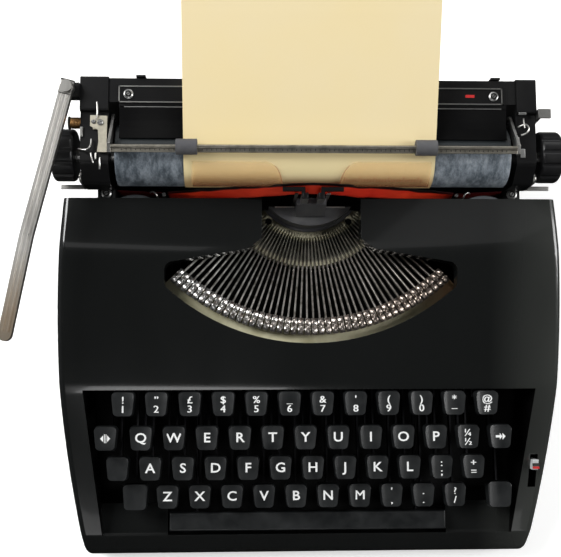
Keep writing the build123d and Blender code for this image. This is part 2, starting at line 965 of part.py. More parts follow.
def card_guide(start, end):
    """A clear card that curves round the front of the platen."""
    with BuildPart() as card:
        with BuildSketch(Plane.YZ.offset(start)):
            with BuildLine():
                near = CenterArc((platen_y, platen_z), card_radius, card_start, card_sweep)
                far = CenterArc(
                    (platen_y, platen_z), card_radius + card_thickness, card_start, card_sweep
                )
                Line(near @ 0, far @ 0)
                Line(near @ 1, far @ 1)
            make_face()
        extrude(amount=end - start)
    return card


card_guide_left = card_guide(-card_left, -card_inner)
card_guide_left.part.label = "card_guide_left"
export_step(card_guide_left.part, "parts/card_guide_left.step")

card_guide_right = card_guide(card_inner, card_right)
card_guide_right.part.label = "card_guide_right"
export_step(card_guide_right.part, "parts/card_guide_right.step")

# Ribbon: two spools on the deck, posts that turn it, and the vibrator that lifts it
with BuildPart() as ribbon_vibrator:
    with BuildSketch(Plane.XZ.offset(-vibrator_y)):
        with Locations((0, (vibrator_low + vibrator_top) / 2)):
            Rectangle(2 * vibrator_out, vibrator_top - vibrator_low)
        with Locations((0, (vibrator_low + vibrator_bar + vibrator_top) / 2)):
            Rectangle(2 * vibrator_in, vibrator_top - vibrator_low - vibrator_bar, mode=Mode.SUBTRACT)
    extrude(amount=vibrator_thickness)
ribbon_vibrator.part.label = "ribbon_vibrator"
export_step(ribbon_vibrator.part, "parts/ribbon_vibrator.step")

with BuildPart() as ribbon:
    with BuildSketch(
        Plane(
            origin=(0, ribbon_y, ribbon_z),
            x_dir=(1, 0, 0),
            z_dir=(0, -cos(radians(ribbon_lean)), sin(radians(ribbon_lean))),
        )
    ):
        with BuildLine():
            half = ribbon_height / 2
            Polyline(
                (-ribbon_half, -ribbon_fall - half),
                (-ribbon_level, -half),
                (ribbon_level, -half),
                (ribbon_half, -ribbon_fall - half),
                (ribbon_half, -ribbon_fall + half),
                (ribbon_level, half),
                (-ribbon_level, half),
                (-ribbon_half, -ribbon_fall + half),
                close=True,
            )
        make_face()
    extrude(amount=ribbon_thickness)
ribbon.part.label = "ribbon"
export_step(ribbon.part, "parts/ribbon.step")

with BuildPart() as spool_decks:
    for side in (-1, 1):
        with BuildSketch(Plane.XY.offset(deck_z)):
            with Locations((side * (deck_in + deck_out) / 2, (deck_front + beam_rear) / 2)):
                Rectangle(deck_out - deck_in, beam_rear - deck_front)
            with Locations((side * post_x, (beam_rear + post_y) / 2)):
                Rectangle(2 * deck_tongue, post_y + deck_tongue - beam_rear)
        extrude(amount=deck_thickness)
        with BuildSketch(Plane.XY.offset(deck_z + deck_thickness)):
            with Locations((side * spool_x, spool_y)):
                Circle(spindle_radius)
            with Locations((side * post_x, post_y)):
                Circle(post_radius)
        extrude(amount=spool_low + spool_height - deck_z)
spool_decks.part.label = "spool_decks"
export_step(spool_decks.part, "parts/spool_decks.step")


def spool(side, wound):
    """A spool with the ribbon that is wound on it."""
    with BuildPart() as reel:
        with BuildSketch(Plane.XY.offset(spool_low)):
            with Locations((side * spool_x, spool_y)):
                Circle(wound)
                Circle(spindle_radius + running_gap, mode=Mode.SUBTRACT)
        extrude(amount=spool_height)
        for z in (spool_low, spool_low + spool_height - flange_thickness):
            with BuildSketch(Plane.XY.offset(z)):
                with Locations((side * spool_x, spool_y)):
                    Circle(spool_radius)
                    Circle(spindle_radius + running_gap, mode=Mode.SUBTRACT)
            extrude(amount=flange_thickness)
    return reel


ribbon_spool_left = spool(-1, pack_radius[0])
ribbon_spool_left.part.label = "ribbon_spool_left"
export_step(ribbon_spool_left.part, "parts/ribbon_spool_left.step")

ribbon_spool_right = spool(1, pack_radius[1])
ribbon_spool_right.part.label = "ribbon_spool_right"
export_step(ribbon_spool_right.part, "parts/ribbon_spool_right.step")

# Carriage and the rail that it slides on
with BuildPart() as carriage_rail:
    with BuildSketch(Plane.YZ.offset(-rail_half)):
        with Locations((rail_y, (rail_low + bed_z - slide_gap) / 2)):
            Rectangle(rail_width, bed_z - slide_gap - rail_low)
    extrude(amount=2 * rail_half)
    with BuildSketch(Plane.XY.offset(pan_top)):
        with Locations((-rail_leg_x, rail_y), (rail_leg_x, rail_y)):
            Rectangle(rail_width, rail_width - 4)
    extrude(amount=rail_low - pan_top)
carriage_rail.part.label = "carriage_rail"
export_step(carriage_rail.part, "parts/carriage_rail.step")

with BuildPart() as frame_lugs:
    with BuildSketch(Plane.XY.offset(rear_top)):
        with Locations((-lug_x, lug_y), (lug_x, lug_y)):
            Rectangle(lug_width, lug_depth)
    extrude(amount=lug_height)
    fillet(frame_lugs.edges().filter_by(Axis.Y).group_by(Axis.Z)[-1], 3)
frame_lugs.part.label = "frame_lugs"
export_step(frame_lugs.part, "parts/frame_lugs.step")

with BuildPart() as carriage_bed:
    with BuildSketch(Plane.XY.offset(bed_z)):
        with Locations((0, (bed_front + bed_rear) / 2)):
            Rectangle(2 * plate_in, bed_rear - bed_front)
    extrude(amount=bed_thickness)
    with BuildSketch(Plane.XY.offset(bed_z - bed_lip)):
        for side in (-1, 1):
            with Locations((0, rail_y + side * (rail_width / 2 + slide_gap + bed_thickness / 2))):
                Rectangle(2 * plate_in, bed_thickness)
    extrude(amount=bed_lip)
carriage_bed.part.label = "carriage_bed"
export_step(carriage_bed.part, "parts/carriage_bed.step")


def end_plate(start, end):
    """A carriage end: the platen's bearing low at the front, a square block at the rear."""
    with BuildPart() as plate:
        with BuildSketch(Plane.YZ.offset(start)):
            with BuildLine():
                FilletPolyline(
                    (bed_front, bed_z),
                    (bed_front, plate_low),
                    (plate_front, plate_low),
                    (plate_front, platen_z + 4),
                    (platen_y - 7, plate_shoulder),
                    (block_front, plate_shoulder),
                    (block_front, plate_top),
                    (plate_rear, plate_top),
                    (plate_rear, bed_z),
                    radius=[0.5, 0.5, 4, 4, 0.5, 1.5, 1.5],
                )
                Line((plate_rear, bed_z), (bed_front, bed_z))
            make_face()
            with Locations((platen_y, platen_z)):
                Circle(shaft_radius + running_gap, mode=Mode.SUBTRACT)
            with Locations(*[(y, feed_z) for y in feed_y]):
                Circle(feed_shaft_radius + running_gap, mode=Mode.SUBTRACT)
        extrude(amount=end - start)
    return plate


left_plate = end_plate(-plate_left_out, -plate_in)
right_plate = end_plate(plate_in, plate_right_out)

with BuildPart() as end_plate_left:
    add(left_plate.part)
    with BuildSketch(Plane.XY.offset(ear_low)):
        with BuildLine():
            Polyline(
                (-plate_left_out, lever_pivot_y - ear_half),
                (lever_pivot_x, lever_pivot_y - ear_half),
                (lever_pivot_x - ear_half + 1, lever_pivot_y),
                (lever_pivot_x, lever_pivot_y + ear_half - 0.5),
                (-plate_left_out, lever_pivot_y + ear_half - 0.5),
                close=True,
            )
        make_face()
    extrude(amount=lever_z - slide_gap - ear_low)
    with BuildSketch(Plane.XY.offset(lever_z - slide_gap)):
        with Locations((lever_pivot_x, lever_pivot_y)):
            Circle(pivot_pin_radius)
    extrude(amount=lever_thick + 2 * slide_gap)
    with BuildSketch(Plane.XY.offset(lever_z + lever_thick + slide_gap)):
        with Locations((lever_pivot_x, lever_pivot_y)):
            Circle(2 * pivot_pin_radius)
    extrude(amount=2)
    with BuildSketch(Plane.YZ.offset(-plate_in)):
        with Locations((bail_pivot_y, bail_pivot_z)):
            Circle(bail_stud)
    extrude(amount=plate_in - bail_arm_x + bail_arm_thickness)
end_plate_left.part.label = "end_plate_left"
export_step(end_plate_left.part, "parts/end_plate_left.step")

with BuildPart() as end_plate_right:
    add(right_plate.part)
    with BuildSketch(Plane.YZ.offset(plate_in)):
        with Locations((bail_pivot_y, bail_pivot_z)):
            Circle(bail_stud)
    extrude(amount=bail_arm_x - bail_arm_thickness - plate_in)
end_plate_right.part.label = "end_plate_right"
export_step(end_plate_right.part, "parts/end_plate_right.step")

with BuildPart() as platen:
    with BuildSketch(Plane.YZ.offset(-platen_half)):
        with Locations((platen_y, platen_z)):
            Circle(platen_radius)
            Circle(shaft_radius + press_gap, mode=Mode.SUBTRACT)
    extrude(amount=2 * platen_half)
    chamfer(platen.edges().filter_by(GeomType.CIRCLE).group_by(SortBy.RADIUS)[-1], 0.6)
platen.part.label = "platen"
export_step(platen.part, "parts/platen.step")

with BuildPart() as platen_shaft:
    with BuildSketch(Plane.YZ.offset(-knob_left_out + 1)):
        with Locations((platen_y, platen_z)):
            Circle(shaft_radius)
    extrude(amount=knob_left_out + knob_right_in + knob_width - 2)
platen_shaft.part.label = "platen_shaft"
export_step(platen_shaft.part, "parts/platen_shaft.step")


def knob(start, end):
    """A fluted knob on the platen's shaft."""
    with BuildPart() as grip:
        with BuildSketch(Plane.YZ.offset(start)):
            with Locations((platen_y, platen_z)):
                Circle(knob_radius)
        extrude(amount=end - start)
        fillet(grip.edges().filter_by(GeomType.CIRCLE), knob_round)
        with BuildSketch(Plane.YZ.offset(start)):
            with Locations((platen_y, platen_z)):
                Circle(shaft_radius + press_gap)
                with PolarLocations(knob_radius + flute_radius * 0.6, flute_count):
                    Circle(flute_radius)
        extrude(amount=end - start, mode=Mode.SUBTRACT)
    return grip


knob_left = knob(-knob_left_out, -knob_left_out + knob_width)
knob_left.part.label = "knob_left"
export_step(knob_left.part, "parts/knob_left.step")

knob_right = knob(knob_right_in, knob_right_in + knob_width)
knob_right.part.label = "knob_right"
export_step(knob_right.part, "parts/knob_right.step")


def feed_roller(y):
    """Three rubber rolls on one thin shaft under the platen."""
    with BuildPart() as roller:
        with BuildSketch(Plane.YZ.offset(-plate_in - feed_shaft_lap)):
            with Locations((y, feed_z)):
                Circle(feed_shaft_radius)
        extrude(amount=2 * (plate_in + feed_shaft_lap))
        for x in (-feed_spacing, 0, feed_spacing):
            with BuildSketch(Plane.YZ.offset(x - feed_width / 2)):
                with Locations((y, feed_z)):
                    Circle(feed_radius)
            extrude(amount=feed_width)
    return roller


feed_roller_front = feed_roller(feed_y[0])
feed_roller_front.part.label = "feed_roller_front"
export_step(feed_roller_front.part, "parts/feed_roller_front.step")

feed_roller_rear = feed_roller(feed_y[1])
feed_roller_rear.part.label = "feed_roller_rear"
export_step(feed_roller_rear.part, "parts/feed_roller_rear.step")

with BuildPart() as paper_table:
    with BuildSketch(Plane.YZ.offset(-table_half)):
        with BuildLine():
            FilletPolyline(
                (table_foot_y, bed_z + bed_thickness),
                (table_foot_y, table_bend_z),
                (table_flat_y, table_top),
                (table_rear, table_top),
                radius=[6, 6],
            )
            offset(amount=table_thickness, side=Side.RIGHT)
        make_face()
    extrude(amount=2 * table_half)
    with BuildSketch(Plane.XY.offset(table_top)):
        with Locations((0, (block_front + 5 + table_rear) / 2)):
            Rectangle(2 * plate_in, table_rear - block_front - 5)
    extrude(amount=-table_thickness)
paper_table.part.label = "paper_table"
export_step(paper_table.part, "parts/paper_table.step")

with BuildPart() as scale_strip:
    with BuildSketch(Plane.XY.offset(table_top)):
        with Locations((0, strip_y)):
            Rectangle(2 * strip_half, strip_width)
    extrude(amount=strip_thickness)
scale_strip.part.label = "scale_strip"
export_step(scale_strip.part, "parts/scale_strip.step")

with BuildPart() as margin_rail:
    with BuildSketch(Plane.YZ.offset(-plate_in)):
        with Locations((margin_y, margin_z)):
            Circle(margin_radius)
    extrude(amount=2 * plate_in)
margin_rail.part.label = "margin_rail"
export_step(margin_rail.part, "parts/margin_rail.step")


def margin_stop(x):
    """A block on the rail, with a tab that comes up behind the paper table."""
    with BuildPart() as stop:
        with BuildSketch(Plane.YZ.offset(x - margin_stop_half)):
            with BuildLine():
                Polyline(
                    (margin_y - 4, margin_z - 4),
                    (stop_rear, margin_z - 4),
                    (stop_rear, stop_top),
                    (stop_rear - stop_tab, stop_top),
                    (stop_rear - stop_tab, margin_z + 2.5),
                    (margin_y - 4, margin_z + 2.5),
                    close=True,
                )
            make_face()
            with Locations((margin_y, margin_z)):
                Circle(margin_radius + running_gap, mode=Mode.SUBTRACT)
        extrude(amount=2 * margin_stop_half)
    return stop


margin_stop_left = margin_stop(margin_left_x)
margin_stop_left.part.label = "margin_stop_left"
export_step(margin_stop_left.part, "parts/margin_stop_left.step")

margin_stop_right = margin_stop(margin_right_x)
margin_stop_right.part.label = "margin_stop_right"
export_step(margin_stop_right.part, "parts/margin_stop_right.step")

# Paper bail: a rod with a ruled strip along its front, between two arms that swing on studs
strip_clear = roller_width / 2 + slide_gap

with BuildPart() as paper_bail:
    for start in (-bail_arm_x - bail_arm_thickness / 2, bail_arm_x - bail_arm_thickness / 2):
        with BuildSketch(Plane.YZ.offset(start)):
            with BuildLine():
                Polyline(
                    (bail_pivot_y - 2, bail_pivot_z - 2.4),
                    (bail_pivot_y + 2, bail_pivot_z + 2.4),
                    (bail_y + 1.4, bail_z + 2.2),
                    (bail_y - 3.4, bail_z + 1),
                    (bail_y - 3.4, bail_z - 1.4),
                    close=True,
                )
            make_face()
            with Locations((bail_pivot_y, bail_pivot_z)):
                Circle(bail_eye)
                Circle(bail_stud + running_gap, mode=Mode.SUBTRACT)
        extrude(amount=bail_arm_thickness)
    with BuildSketch(Plane.YZ.offset(-bail_arm_x)):
        with Locations((bail_y, bail_z)):
            Circle(bail_radius)
    extrude(amount=2 * bail_arm_x)
    strip_ends = [-bail_arm_x, *[x + side * strip_clear for x in roller_x for side in (-1, 1)], bail_arm_x]
    for start, end in zip(strip_ends[::2], strip_ends[1::2]):
        with BuildSketch(Plane.YZ.offset(start)):
            with Locations((bail_y - bail_radius - bail_strip_width / 2 + bail_strip_lap, bail_z)):
                Rectangle(bail_strip_width, bail_strip_thickness)
        extrude(amount=end - start)
paper_bail.part.label = "paper_bail"
export_step(paper_bail.part, "parts/paper_bail.step")


def bail_roller(x):
    with BuildPart() as roller:
        with BuildSketch(Plane.YZ.offset(x - roller_width / 2)):
            with Locations((bail_y, bail_z)):
                Circle(roller_radius)
                Circle(bail_radius + running_gap, mode=Mode.SUBTRACT)
        extrude(amount=roller_width)
    return roller


bail_roller_left = bail_roller(roller_x[0])
bail_roller_left.part.label = "bail_roller_left"
export_step(bail_roller_left.part, "parts/bail_roller_left.step")

bail_roller_right = bail_roller(roller_x[1])
bail_roller_right.part.label = "bail_roller_right"
export_step(bail_roller_right.part, "parts/bail_roller_right.step")

# Paper: up behind the platen, round under it, and back in a leaf that leans over the table
paper_radius = platen_radius + paper_gap
leaf_angle = 90 + paper_lean
leaf_y = platen_y + paper_radius * cos(radians(leaf_angle))
leaf_z = platen_z + paper_radius * sin(radians(leaf_angle))

with BuildPart() as paper_sheet:
    with BuildSketch(Plane.YZ.offset(paper_x - paper_width / 2)):
        with BuildLine():
            Line((platen_y + paper_radius, platen_z + paper_tail), (platen_y + paper_radius, platen_z))
            CenterArc((platen_y, platen_z), paper_radius, 0, leaf_angle - 360)
            Line(
                (leaf_y, leaf_z),
                (paper_back, leaf_z + (paper_back - leaf_y) * tan(radians(paper_lean))),
            )
            offset(amount=paper_thickness, side=Side.LEFT)
        make_face()
    extrude(amount=paper_width)
paper_sheet.part.label = "paper_sheet"
export_step(paper_sheet.part, "parts/paper_sheet.step")

# Levers at the carriage's ends
lever_elbow = Vector(lever_pivot_x - 19.6, 43.5)
lever_tip = Vector(lever_pivot_x - 29.4, -9.0)

with BuildPart() as return_lever:
    with BuildSketch(Plane.XY.offset(lever_z)):
        with Locations((lever_pivot_x, lever_pivot_y)):
            Circle(lever_eye)
        with BuildLine():
            FilletPolyline(
                (lever_pivot_x, lever_pivot_y), lever_elbow, lever_tip, radius=120
            )
            offset(amount=lever_width / 2, side=Side.BOTH)
        make_face()
        with Locations((lever_pivot_x, lever_pivot_y)):
            Circle(pivot_pin_radius + running_gap, mode=Mode.SUBTRACT)
    extrude(amount=lever_thick)
return_lever.part.label = "return_lever"
export_step(return_lever.part, "parts/return_lever.step")

with BuildPart() as paper_release_lever:
    with BuildSketch(Plane.YZ.offset(plate_right_out + slide_gap)):
        with BuildLine():
            Polyline(
                (release_y - 3, release_z),
                (release_y - 2, release_top),
                (release_y + 3, release_top),
                (release_y + 3, release_z),
                close=True,
            )
        make_face()
        with Locations((release_y, release_z)):
            Circle(4)
    extrude(amount=release_thickness)
    with BuildSketch(Plane.XY.offset(release_top - release_thickness)):
        with Locations((plate_right_out + slide_gap + release_reach / 2, release_y + 0.5)):
            Rectangle(release_reach, 5)
    extrude(amount=release_thickness)
paper_release_lever.part.label = "paper_release_lever"
export_step(paper_release_lever.part, "parts/paper_release_lever.step")


def release_tab(side, face):
    """A carriage release: a leg on the end plate's outer face and a thumb tab."""
    with BuildPart() as tab:
        with BuildSketch(Plane.YZ.offset(side * (face + slide_gap))):
            with BuildLine():
                Polyline(
                    (tab_front, tab_z),
                    (tab_rear, tab_z),
                    (tab_pivot_y + 3, tab_pivot_z),
                    (tab_pivot_y - 3, tab_pivot_z),
                    close=True,
                )
            make_face()
            with Locations((tab_pivot_y, tab_pivot_z)):
                Circle(3)
        extrude(amount=side * tab_thickness)
        with BuildSketch(Plane.XY.offset(tab_z)):
            with Locations((side * (face + slide_gap + tab_reach / 2), (tab_front + tab_rear) / 2)):
                Rectangle(tab_reach, tab_rear - tab_front)
        extrude(amount=tab_thickness)
    return tab


release_tab_left = release_tab(-1, plate_left_out)
release_tab_left.part.label = "release_tab_left"
export_step(release_tab_left.part, "parts/release_tab_left.step")

release_tab_right = release_tab(1, plate_right_out)
release_tab_right.part.label = "release_tab_right"
export_step(release_tab_right.part, "parts/release_tab_right.step")
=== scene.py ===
import json
import math

import bmesh
import bpy
from mathutils import Matrix, Vector
from mathutils.bvhtree import BVHTree


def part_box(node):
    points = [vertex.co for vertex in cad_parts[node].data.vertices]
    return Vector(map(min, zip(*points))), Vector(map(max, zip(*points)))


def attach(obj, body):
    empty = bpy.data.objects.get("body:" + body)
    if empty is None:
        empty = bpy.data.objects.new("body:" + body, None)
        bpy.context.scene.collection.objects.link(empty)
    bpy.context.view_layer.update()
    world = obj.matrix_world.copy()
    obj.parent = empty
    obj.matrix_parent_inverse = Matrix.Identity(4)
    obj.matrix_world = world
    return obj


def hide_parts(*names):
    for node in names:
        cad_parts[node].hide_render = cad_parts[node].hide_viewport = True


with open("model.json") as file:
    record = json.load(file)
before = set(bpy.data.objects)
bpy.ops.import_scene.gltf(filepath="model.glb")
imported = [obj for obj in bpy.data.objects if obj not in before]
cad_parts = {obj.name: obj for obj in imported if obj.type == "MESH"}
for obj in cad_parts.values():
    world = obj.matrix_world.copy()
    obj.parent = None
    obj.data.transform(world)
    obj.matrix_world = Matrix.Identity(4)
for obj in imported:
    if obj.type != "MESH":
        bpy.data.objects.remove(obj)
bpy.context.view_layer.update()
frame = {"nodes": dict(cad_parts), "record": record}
nodes = frame["nodes"]
bodyOf = {n: b for b, members in frame["record"]["behaviour"]["bodies"].items() for n in members}
mm = 0.001
print("frame loaded:", len(nodes), "nodes")


# Shader maths: the output of one node, which adds and multiplies like a number
class Wire:
    def __init__(self, paint, socket):
        self.paint = paint
        self.socket = socket

    def math(self, operation, first, second=0.0):
        return self.paint.node("ShaderNodeMath", {"operation": operation}, {0: first, 1: second})

    def __add__(self, other):
        return self.math("ADD", self, other)

    def __sub__(self, other):
        return self.math("SUBTRACT", self, other)

    def __mul__(self, other):
        return self.math("MULTIPLY", self, other)

    def __rsub__(self, other):
        return self.math("SUBTRACT", other, self)

    def __abs__(self):
        return self.math("ABSOLUTE", self)

    __radd__ = __add__


class Paint:
    # one material: fixed values go straight on the shader's sockets
    def __init__(self, name, colour, **values):
        self.material = bpy.data.materials.new(name)
        self.material.use_nodes = True
        self.tree = self.material.node_tree
        self.shader = self.tree.nodes["Principled BSDF"]
        self.shader.inputs["Base Color"].default_value = (*colour, 1)
        for socket, value in values.items():
            self.shader.inputs[socket.replace("_", " ")].default_value = value
        self.material.diffuse_color = (*colour, 1)
        self.place = self.node("ShaderNodeTexCoord", out="Object")

    def node(self, kind, settings=None, sockets=None, out=0):
        made = self.tree.nodes.new(kind)
        for key, value in (settings or {}).items():
            if key == "stops":
                ramp = made.color_ramp.elements
                while len(ramp) < len(value):
                    ramp.new(0.5)
                for stop, (place, shade) in zip(ramp, value):
                    stop.position = place
                    stop.color = (shade, shade, shade, 1) if isinstance(shade, float) else (*shade, 1)
            else:
                setattr(made, key, value)
        for key, value in (sockets or {}).items():
            if isinstance(value, Wire):
                self.tree.links.new(value.socket, made.inputs[key])
            else:
                made.inputs[key].default_value = value
        return Wire(self, made.outputs[out])

    def noise(self, scale, detail=4.0, stretch=(1, 1, 1), rough=0.55):
        spot = self.node("ShaderNodeMapping", sockets={"Vector": self.place, "Scale": stretch})
        return self.node("ShaderNodeTexNoise", {"noise_dimensions": "3D"},
                         {"Vector": spot, "Scale": scale, "Detail": detail, "Roughness": rough})

    def ramp(self, value, *stops):
        return self.node("ShaderNodeValToRGB", {"stops": stops}, {"Fac": value}, out="Color")

    def mix(self, share, first, second):
        made = self.tree.nodes.new("ShaderNodeMix")
        made.data_type = "RGBA"
        for socket, value in ((made.inputs[0], share), (made.inputs[6], first), (made.inputs[7], second)):
            if isinstance(value, Wire):
                self.tree.links.new(value.socket, socket)
            elif isinstance(value, tuple):
                socket.default_value = (*value, 1)
            else:
                socket.default_value = value
        return Wire(self, made.outputs[2])

    def axis(self, letter):
        return self.node("ShaderNodeSeparateXYZ", sockets={"Vector": self.place}, out=letter)

    def feed(self, **links):
        for socket, wire in links.items():
            self.tree.links.new(wire.socket, self.shader.inputs[socket.replace("_", " ")])
        return self

    def bump(self, height, strength=0.2, distance=0.0002):
        wire = self.node("ShaderNodeBump", sockets={"Height": height, "Strength": strength,
                                                    "Distance": distance}, out="Normal")
        return self.feed(Normal=wire)


def glossBlack():
    paint = Paint("glossBlack", (0.006, 0.0062, 0.0066), Roughness=0.16, Coat_Weight=0.5,
                  Coat_Roughness=0.05, Specular_IOR_Level=0.5)
    smear = paint.noise(22, 5, (1, 0.5, 1))
    sheen_streaks = paint.noise(7, 3, (1, 0.35, 1))
    dust = paint.noise(900, 2)
    # painted reflection: a grey sheen painted on the right cheek and broken into streaks, over the enamel's
    # own black
    side = paint.ramp(paint.axis("X") * 6, (0.62, 0.0), (0.84, 1.0))
    enamel_and_cheek_sheen = paint.mix(side * paint.ramp(sheen_streaks, (0.38, 0.25), (0.62, 1.0)),
                     (0.0085, 0.0092, 0.0090), (0.046, 0.049, 0.045))
    paint.feed(Roughness=0.09 + smear * 0.17,
               Base_Color=paint.mix(paint.ramp(dust, (0.66, 0.0), (0.84, 0.10)), enamel_and_cheek_sheen, (0.08, 0.08, 0.075)))
    return paint.bump(paint.noise(60, 2), 0.05, 0.0004)


def satinBlack(name, shade=0.005, rough=0.42, shine=0.22):
    cold = (shade, shade, shade * 1.08)
    paint = Paint(name, cold, Roughness=rough, Specular_IOR_Level=shine)
    grime = paint.noise(35, 6)
    paint.feed(Roughness=rough - 0.12 + grime * 0.24,
               Base_Color=paint.mix(paint.ramp(grime, (0.45, 0.0), (0.75, 1.0)), cold,
                                    (shade * 2.2, shade * 2.2, shade * 2.1)))
    return paint.bump(paint.noise(1500, 2), 0.12, 0.0001)


def keyPlastic():
    paint = Paint("keyPlastic", (0.009, 0.010, 0.011), Roughness=0.34, Specular_IOR_Level=0.4,
                  Coat_Weight=0.15, Coat_Roughness=0.2)
    wear = paint.noise(90, 5)
    grain = paint.noise(2600, 2)
    paint.feed(Roughness=0.27 + wear * 0.22,
               Base_Color=paint.mix(paint.ramp(wear, (0.35, 0.0), (0.7, 1.0)),
                                    (0.0065, 0.0075, 0.008), (0.017, 0.0185, 0.019)))
    return paint.bump(grain, 0.10, 0.00006)


def metal(name, colour, rough, grime=0.35, scale=140, stretch=(1, 1, 1)):
    paint = Paint(name, colour, Metallic=1.0, Roughness=rough)
    stain = paint.noise(scale, 6, stretch)
    dark = tuple(channel * (1 - grime) for channel in colour)
    paint.feed(Base_Color=paint.mix(paint.ramp(stain, (0.38, 0.0), (0.66, 1.0)), colour, dark),
               Roughness=rough + stain * 0.22 - 0.06)
    return paint.bump(paint.noise(scale * 6, 3, stretch), 0.08, 0.00008)


def segmentRing():
    # a pale olive face inside the slots and along the outer rim, bare steel between; the olive is painted
    # paler than its own tone, standing in for light that the deep ring does not get
    paint = Paint("segmentSteel", (0.2, 0.19, 0.15), Metallic=0.35, Roughness=0.42)
    stain = paint.noise(120, 6)
    x, y = paint.axis("X"), paint.axis("Y") - 0.088
    square = x * x + y * y
    radius = square.math("SQRT", square)
    ring = paint.ramp(radius * 10, (0.382, 1.0), (0.396, 0.0), (0.505, 0.0), (0.52, 0.7))
    steel = paint.mix(paint.ramp(stain, (0.38, 0.0), (0.66, 1.0)), (0.27, 0.26, 0.22), (0.13, 0.125, 0.10))
    paint.feed(Base_Color=paint.mix(ring, steel, (0.62, 0.58, 0.41)), Roughness=0.36 + stain * 0.2,
               Metallic=0.45 - ring * 0.45)
    return paint.bump(stain, 0.08, 0.00008)


def typeChrome():
    # painted light: the slugs are painted brighter towards the window on the left, and darker and browner
    # towards the right
    paint = Paint("typeChrome", (0.7, 0.69, 0.66), Metallic=0.9, Roughness=0.2)
    stain = paint.noise(420, 3)
    side = paint.ramp(paint.axis("X") * 5 + 0.5, (0.2, 0.0), (0.75, 1.0))
    face = paint.mix(side, (0.86, 0.86, 0.84), (0.52, 0.43, 0.36))
    paint.feed(Base_Color=paint.mix(paint.ramp(stain, (0.40, 0.0), (0.62, 1.0)), face, (0.20, 0.17, 0.15)),
               Roughness=0.16 + stain * 0.24)
    return paint.bump(stain, 0.10, 0.00008)


def barSteel():
    paint = Paint("barSteel", (0.4, 0.39, 0.36), Metallic=0.6, Roughness=0.36)
    stain = paint.noise(260, 5)
    # painted light: the bars are painted bright towards the window on the left and dark towards the right
    side = paint.ramp(paint.axis("X") * 5 + 0.5, (0.1, 0.0), (0.8, 1.0))
    face = paint.mix(side, (0.70, 0.69, 0.66), (0.22, 0.20, 0.175))
    paint.feed(Base_Color=paint.mix(paint.ramp(stain, (0.42, 0.0), (0.66, 1.0)), face, (0.15, 0.14, 0.12)),
               Roughness=0.28 + stain * 0.2)
    return paint.bump(stain, 0.08, 0.00008)


def feltPad():
    paint = Paint("feltPad", (0.62, 0.60, 0.44), Roughness=0.95, Sheen_Weight=0.3, Sheen_Roughness=0.5)
    stain = paint.noise(45, 5)
    fuzz = paint.noise(1400, 4)
    face = paint.mix(paint.ramp(stain, (0.32, 0.0), (0.72, 1.0)), (0.38, 0.35, 0.19), (0.84, 0.81, 0.59))
    right = paint.ramp(paint.axis("X") * 10, (0.62, 0.0), (0.80, 0.8))
    paint.feed(Base_Color=paint.mix(right, face, (0.50, 0.27, 0.12)))
    return paint.bump(fuzz, 0.6, 0.0004)


def platenRubber():
    paint = Paint("platenRubber", (0.05, 0.06, 0.07), Roughness=0.5)
    blotch = paint.noise(120, 9, (1.3, 0.7, 0.7), 0.8)
    cloud = paint.noise(30, 3)
    streak = paint.noise(500, 4, (1, 0.4, 0.4))
    face = paint.ramp(blotch * 0.62 + streak * 0.14 + cloud * 0.26, (0.36, (0.022, 0.030, 0.038)),
                      (0.46, (0.075, 0.095, 0.115)), (0.55, (0.22, 0.255, 0.29)), (0.66, (0.42, 0.46, 0.50)))
    # painted light: the worn, mottled rubber shows only on the front, painted as if lit, and the back is
    # painted dark as if in shade
    front = paint.ramp(paint.axis("Y") * 40 - 3.15, (0.42, 1.0), (0.56, 0.0))
    paint.feed(Base_Color=paint.mix(front, (0.010, 0.0145, 0.0165), face), Roughness=0.40 + blotch * 0.3)
    return paint.bump(streak, 0.15, 0.0002)


def paperStock():
    paint = Paint("paperStock", (0.78, 0.69, 0.44), Roughness=0.85, Specular_IOR_Level=0.15)
    cloud = paint.noise(9, 4)
    fibre = paint.noise(900, 4, (1, 0.6, 0.6))
    # painted light: paler and warmer where it curves round the platen, making up for the light that the
    # curve turns away from, and darkest at its lowest edge
    low = paint.ramp(paint.axis("Y") * 10, (0.76, 0.0), (0.80, 1.0), (0.97, 0.0))
    foot = paint.ramp(paint.axis("Y") * 10, (0.755, 1.0), (0.79, 0.0))
    pale = paint.mix(paint.ramp(cloud, (0.3, 0.0), (0.7, 1.0)), (0.93, 0.765, 0.42), (0.92, 0.78, 0.49))
    paper_with_painted_light = paint.mix(low * 0.9, pale, (0.99, 0.83, 0.46))
    paint.feed(Base_Color=paint.mix(foot * 0.6, paper_with_painted_light, (0.55, 0.30, 0.10)))
    return paint.bump(fibre, 0.15, 0.0001)


def ribbonCloth():
    paint = Paint("ribbonCloth", (0.5, 0.01, 0.01), Roughness=0.42, Specular_IOR_Level=0.25)
    span = paint.node("ShaderNodeUVMap", {"uv_map": "along"}, out="UV")
    across = paint.node("ShaderNodeSeparateXYZ", sockets={"Vector": span}, out="Y")
    ink = paint.noise(120, 4, (0.3, 1, 1))
    dark = paint.ramp(across + ink * 0.14, (0.80, 0.0), (0.88, 1.0))
    red = paint.mix(paint.ramp(ink, (0.3, 0.0), (0.6, 1.0)), (0.80, 0.022, 0.010), (0.98, 0.060, 0.020))
    ends = paint.ramp(abs(paint.axis("X")) * 10, (0.70, 0.0), (0.86, 0.8))
    paint.feed(Base_Color=paint.mix(ends, paint.mix(dark, red, (0.006, 0.003, 0.003)), (0.08, 0.006, 0.008)))
    weave = paint.node("ShaderNodeTexWave", {"wave_type": "BANDS", "bands_direction": "X"},
                       {"Vector": paint.place, "Scale": 900.0})
    return paint.bump(weave, 0.1, 0.0001)


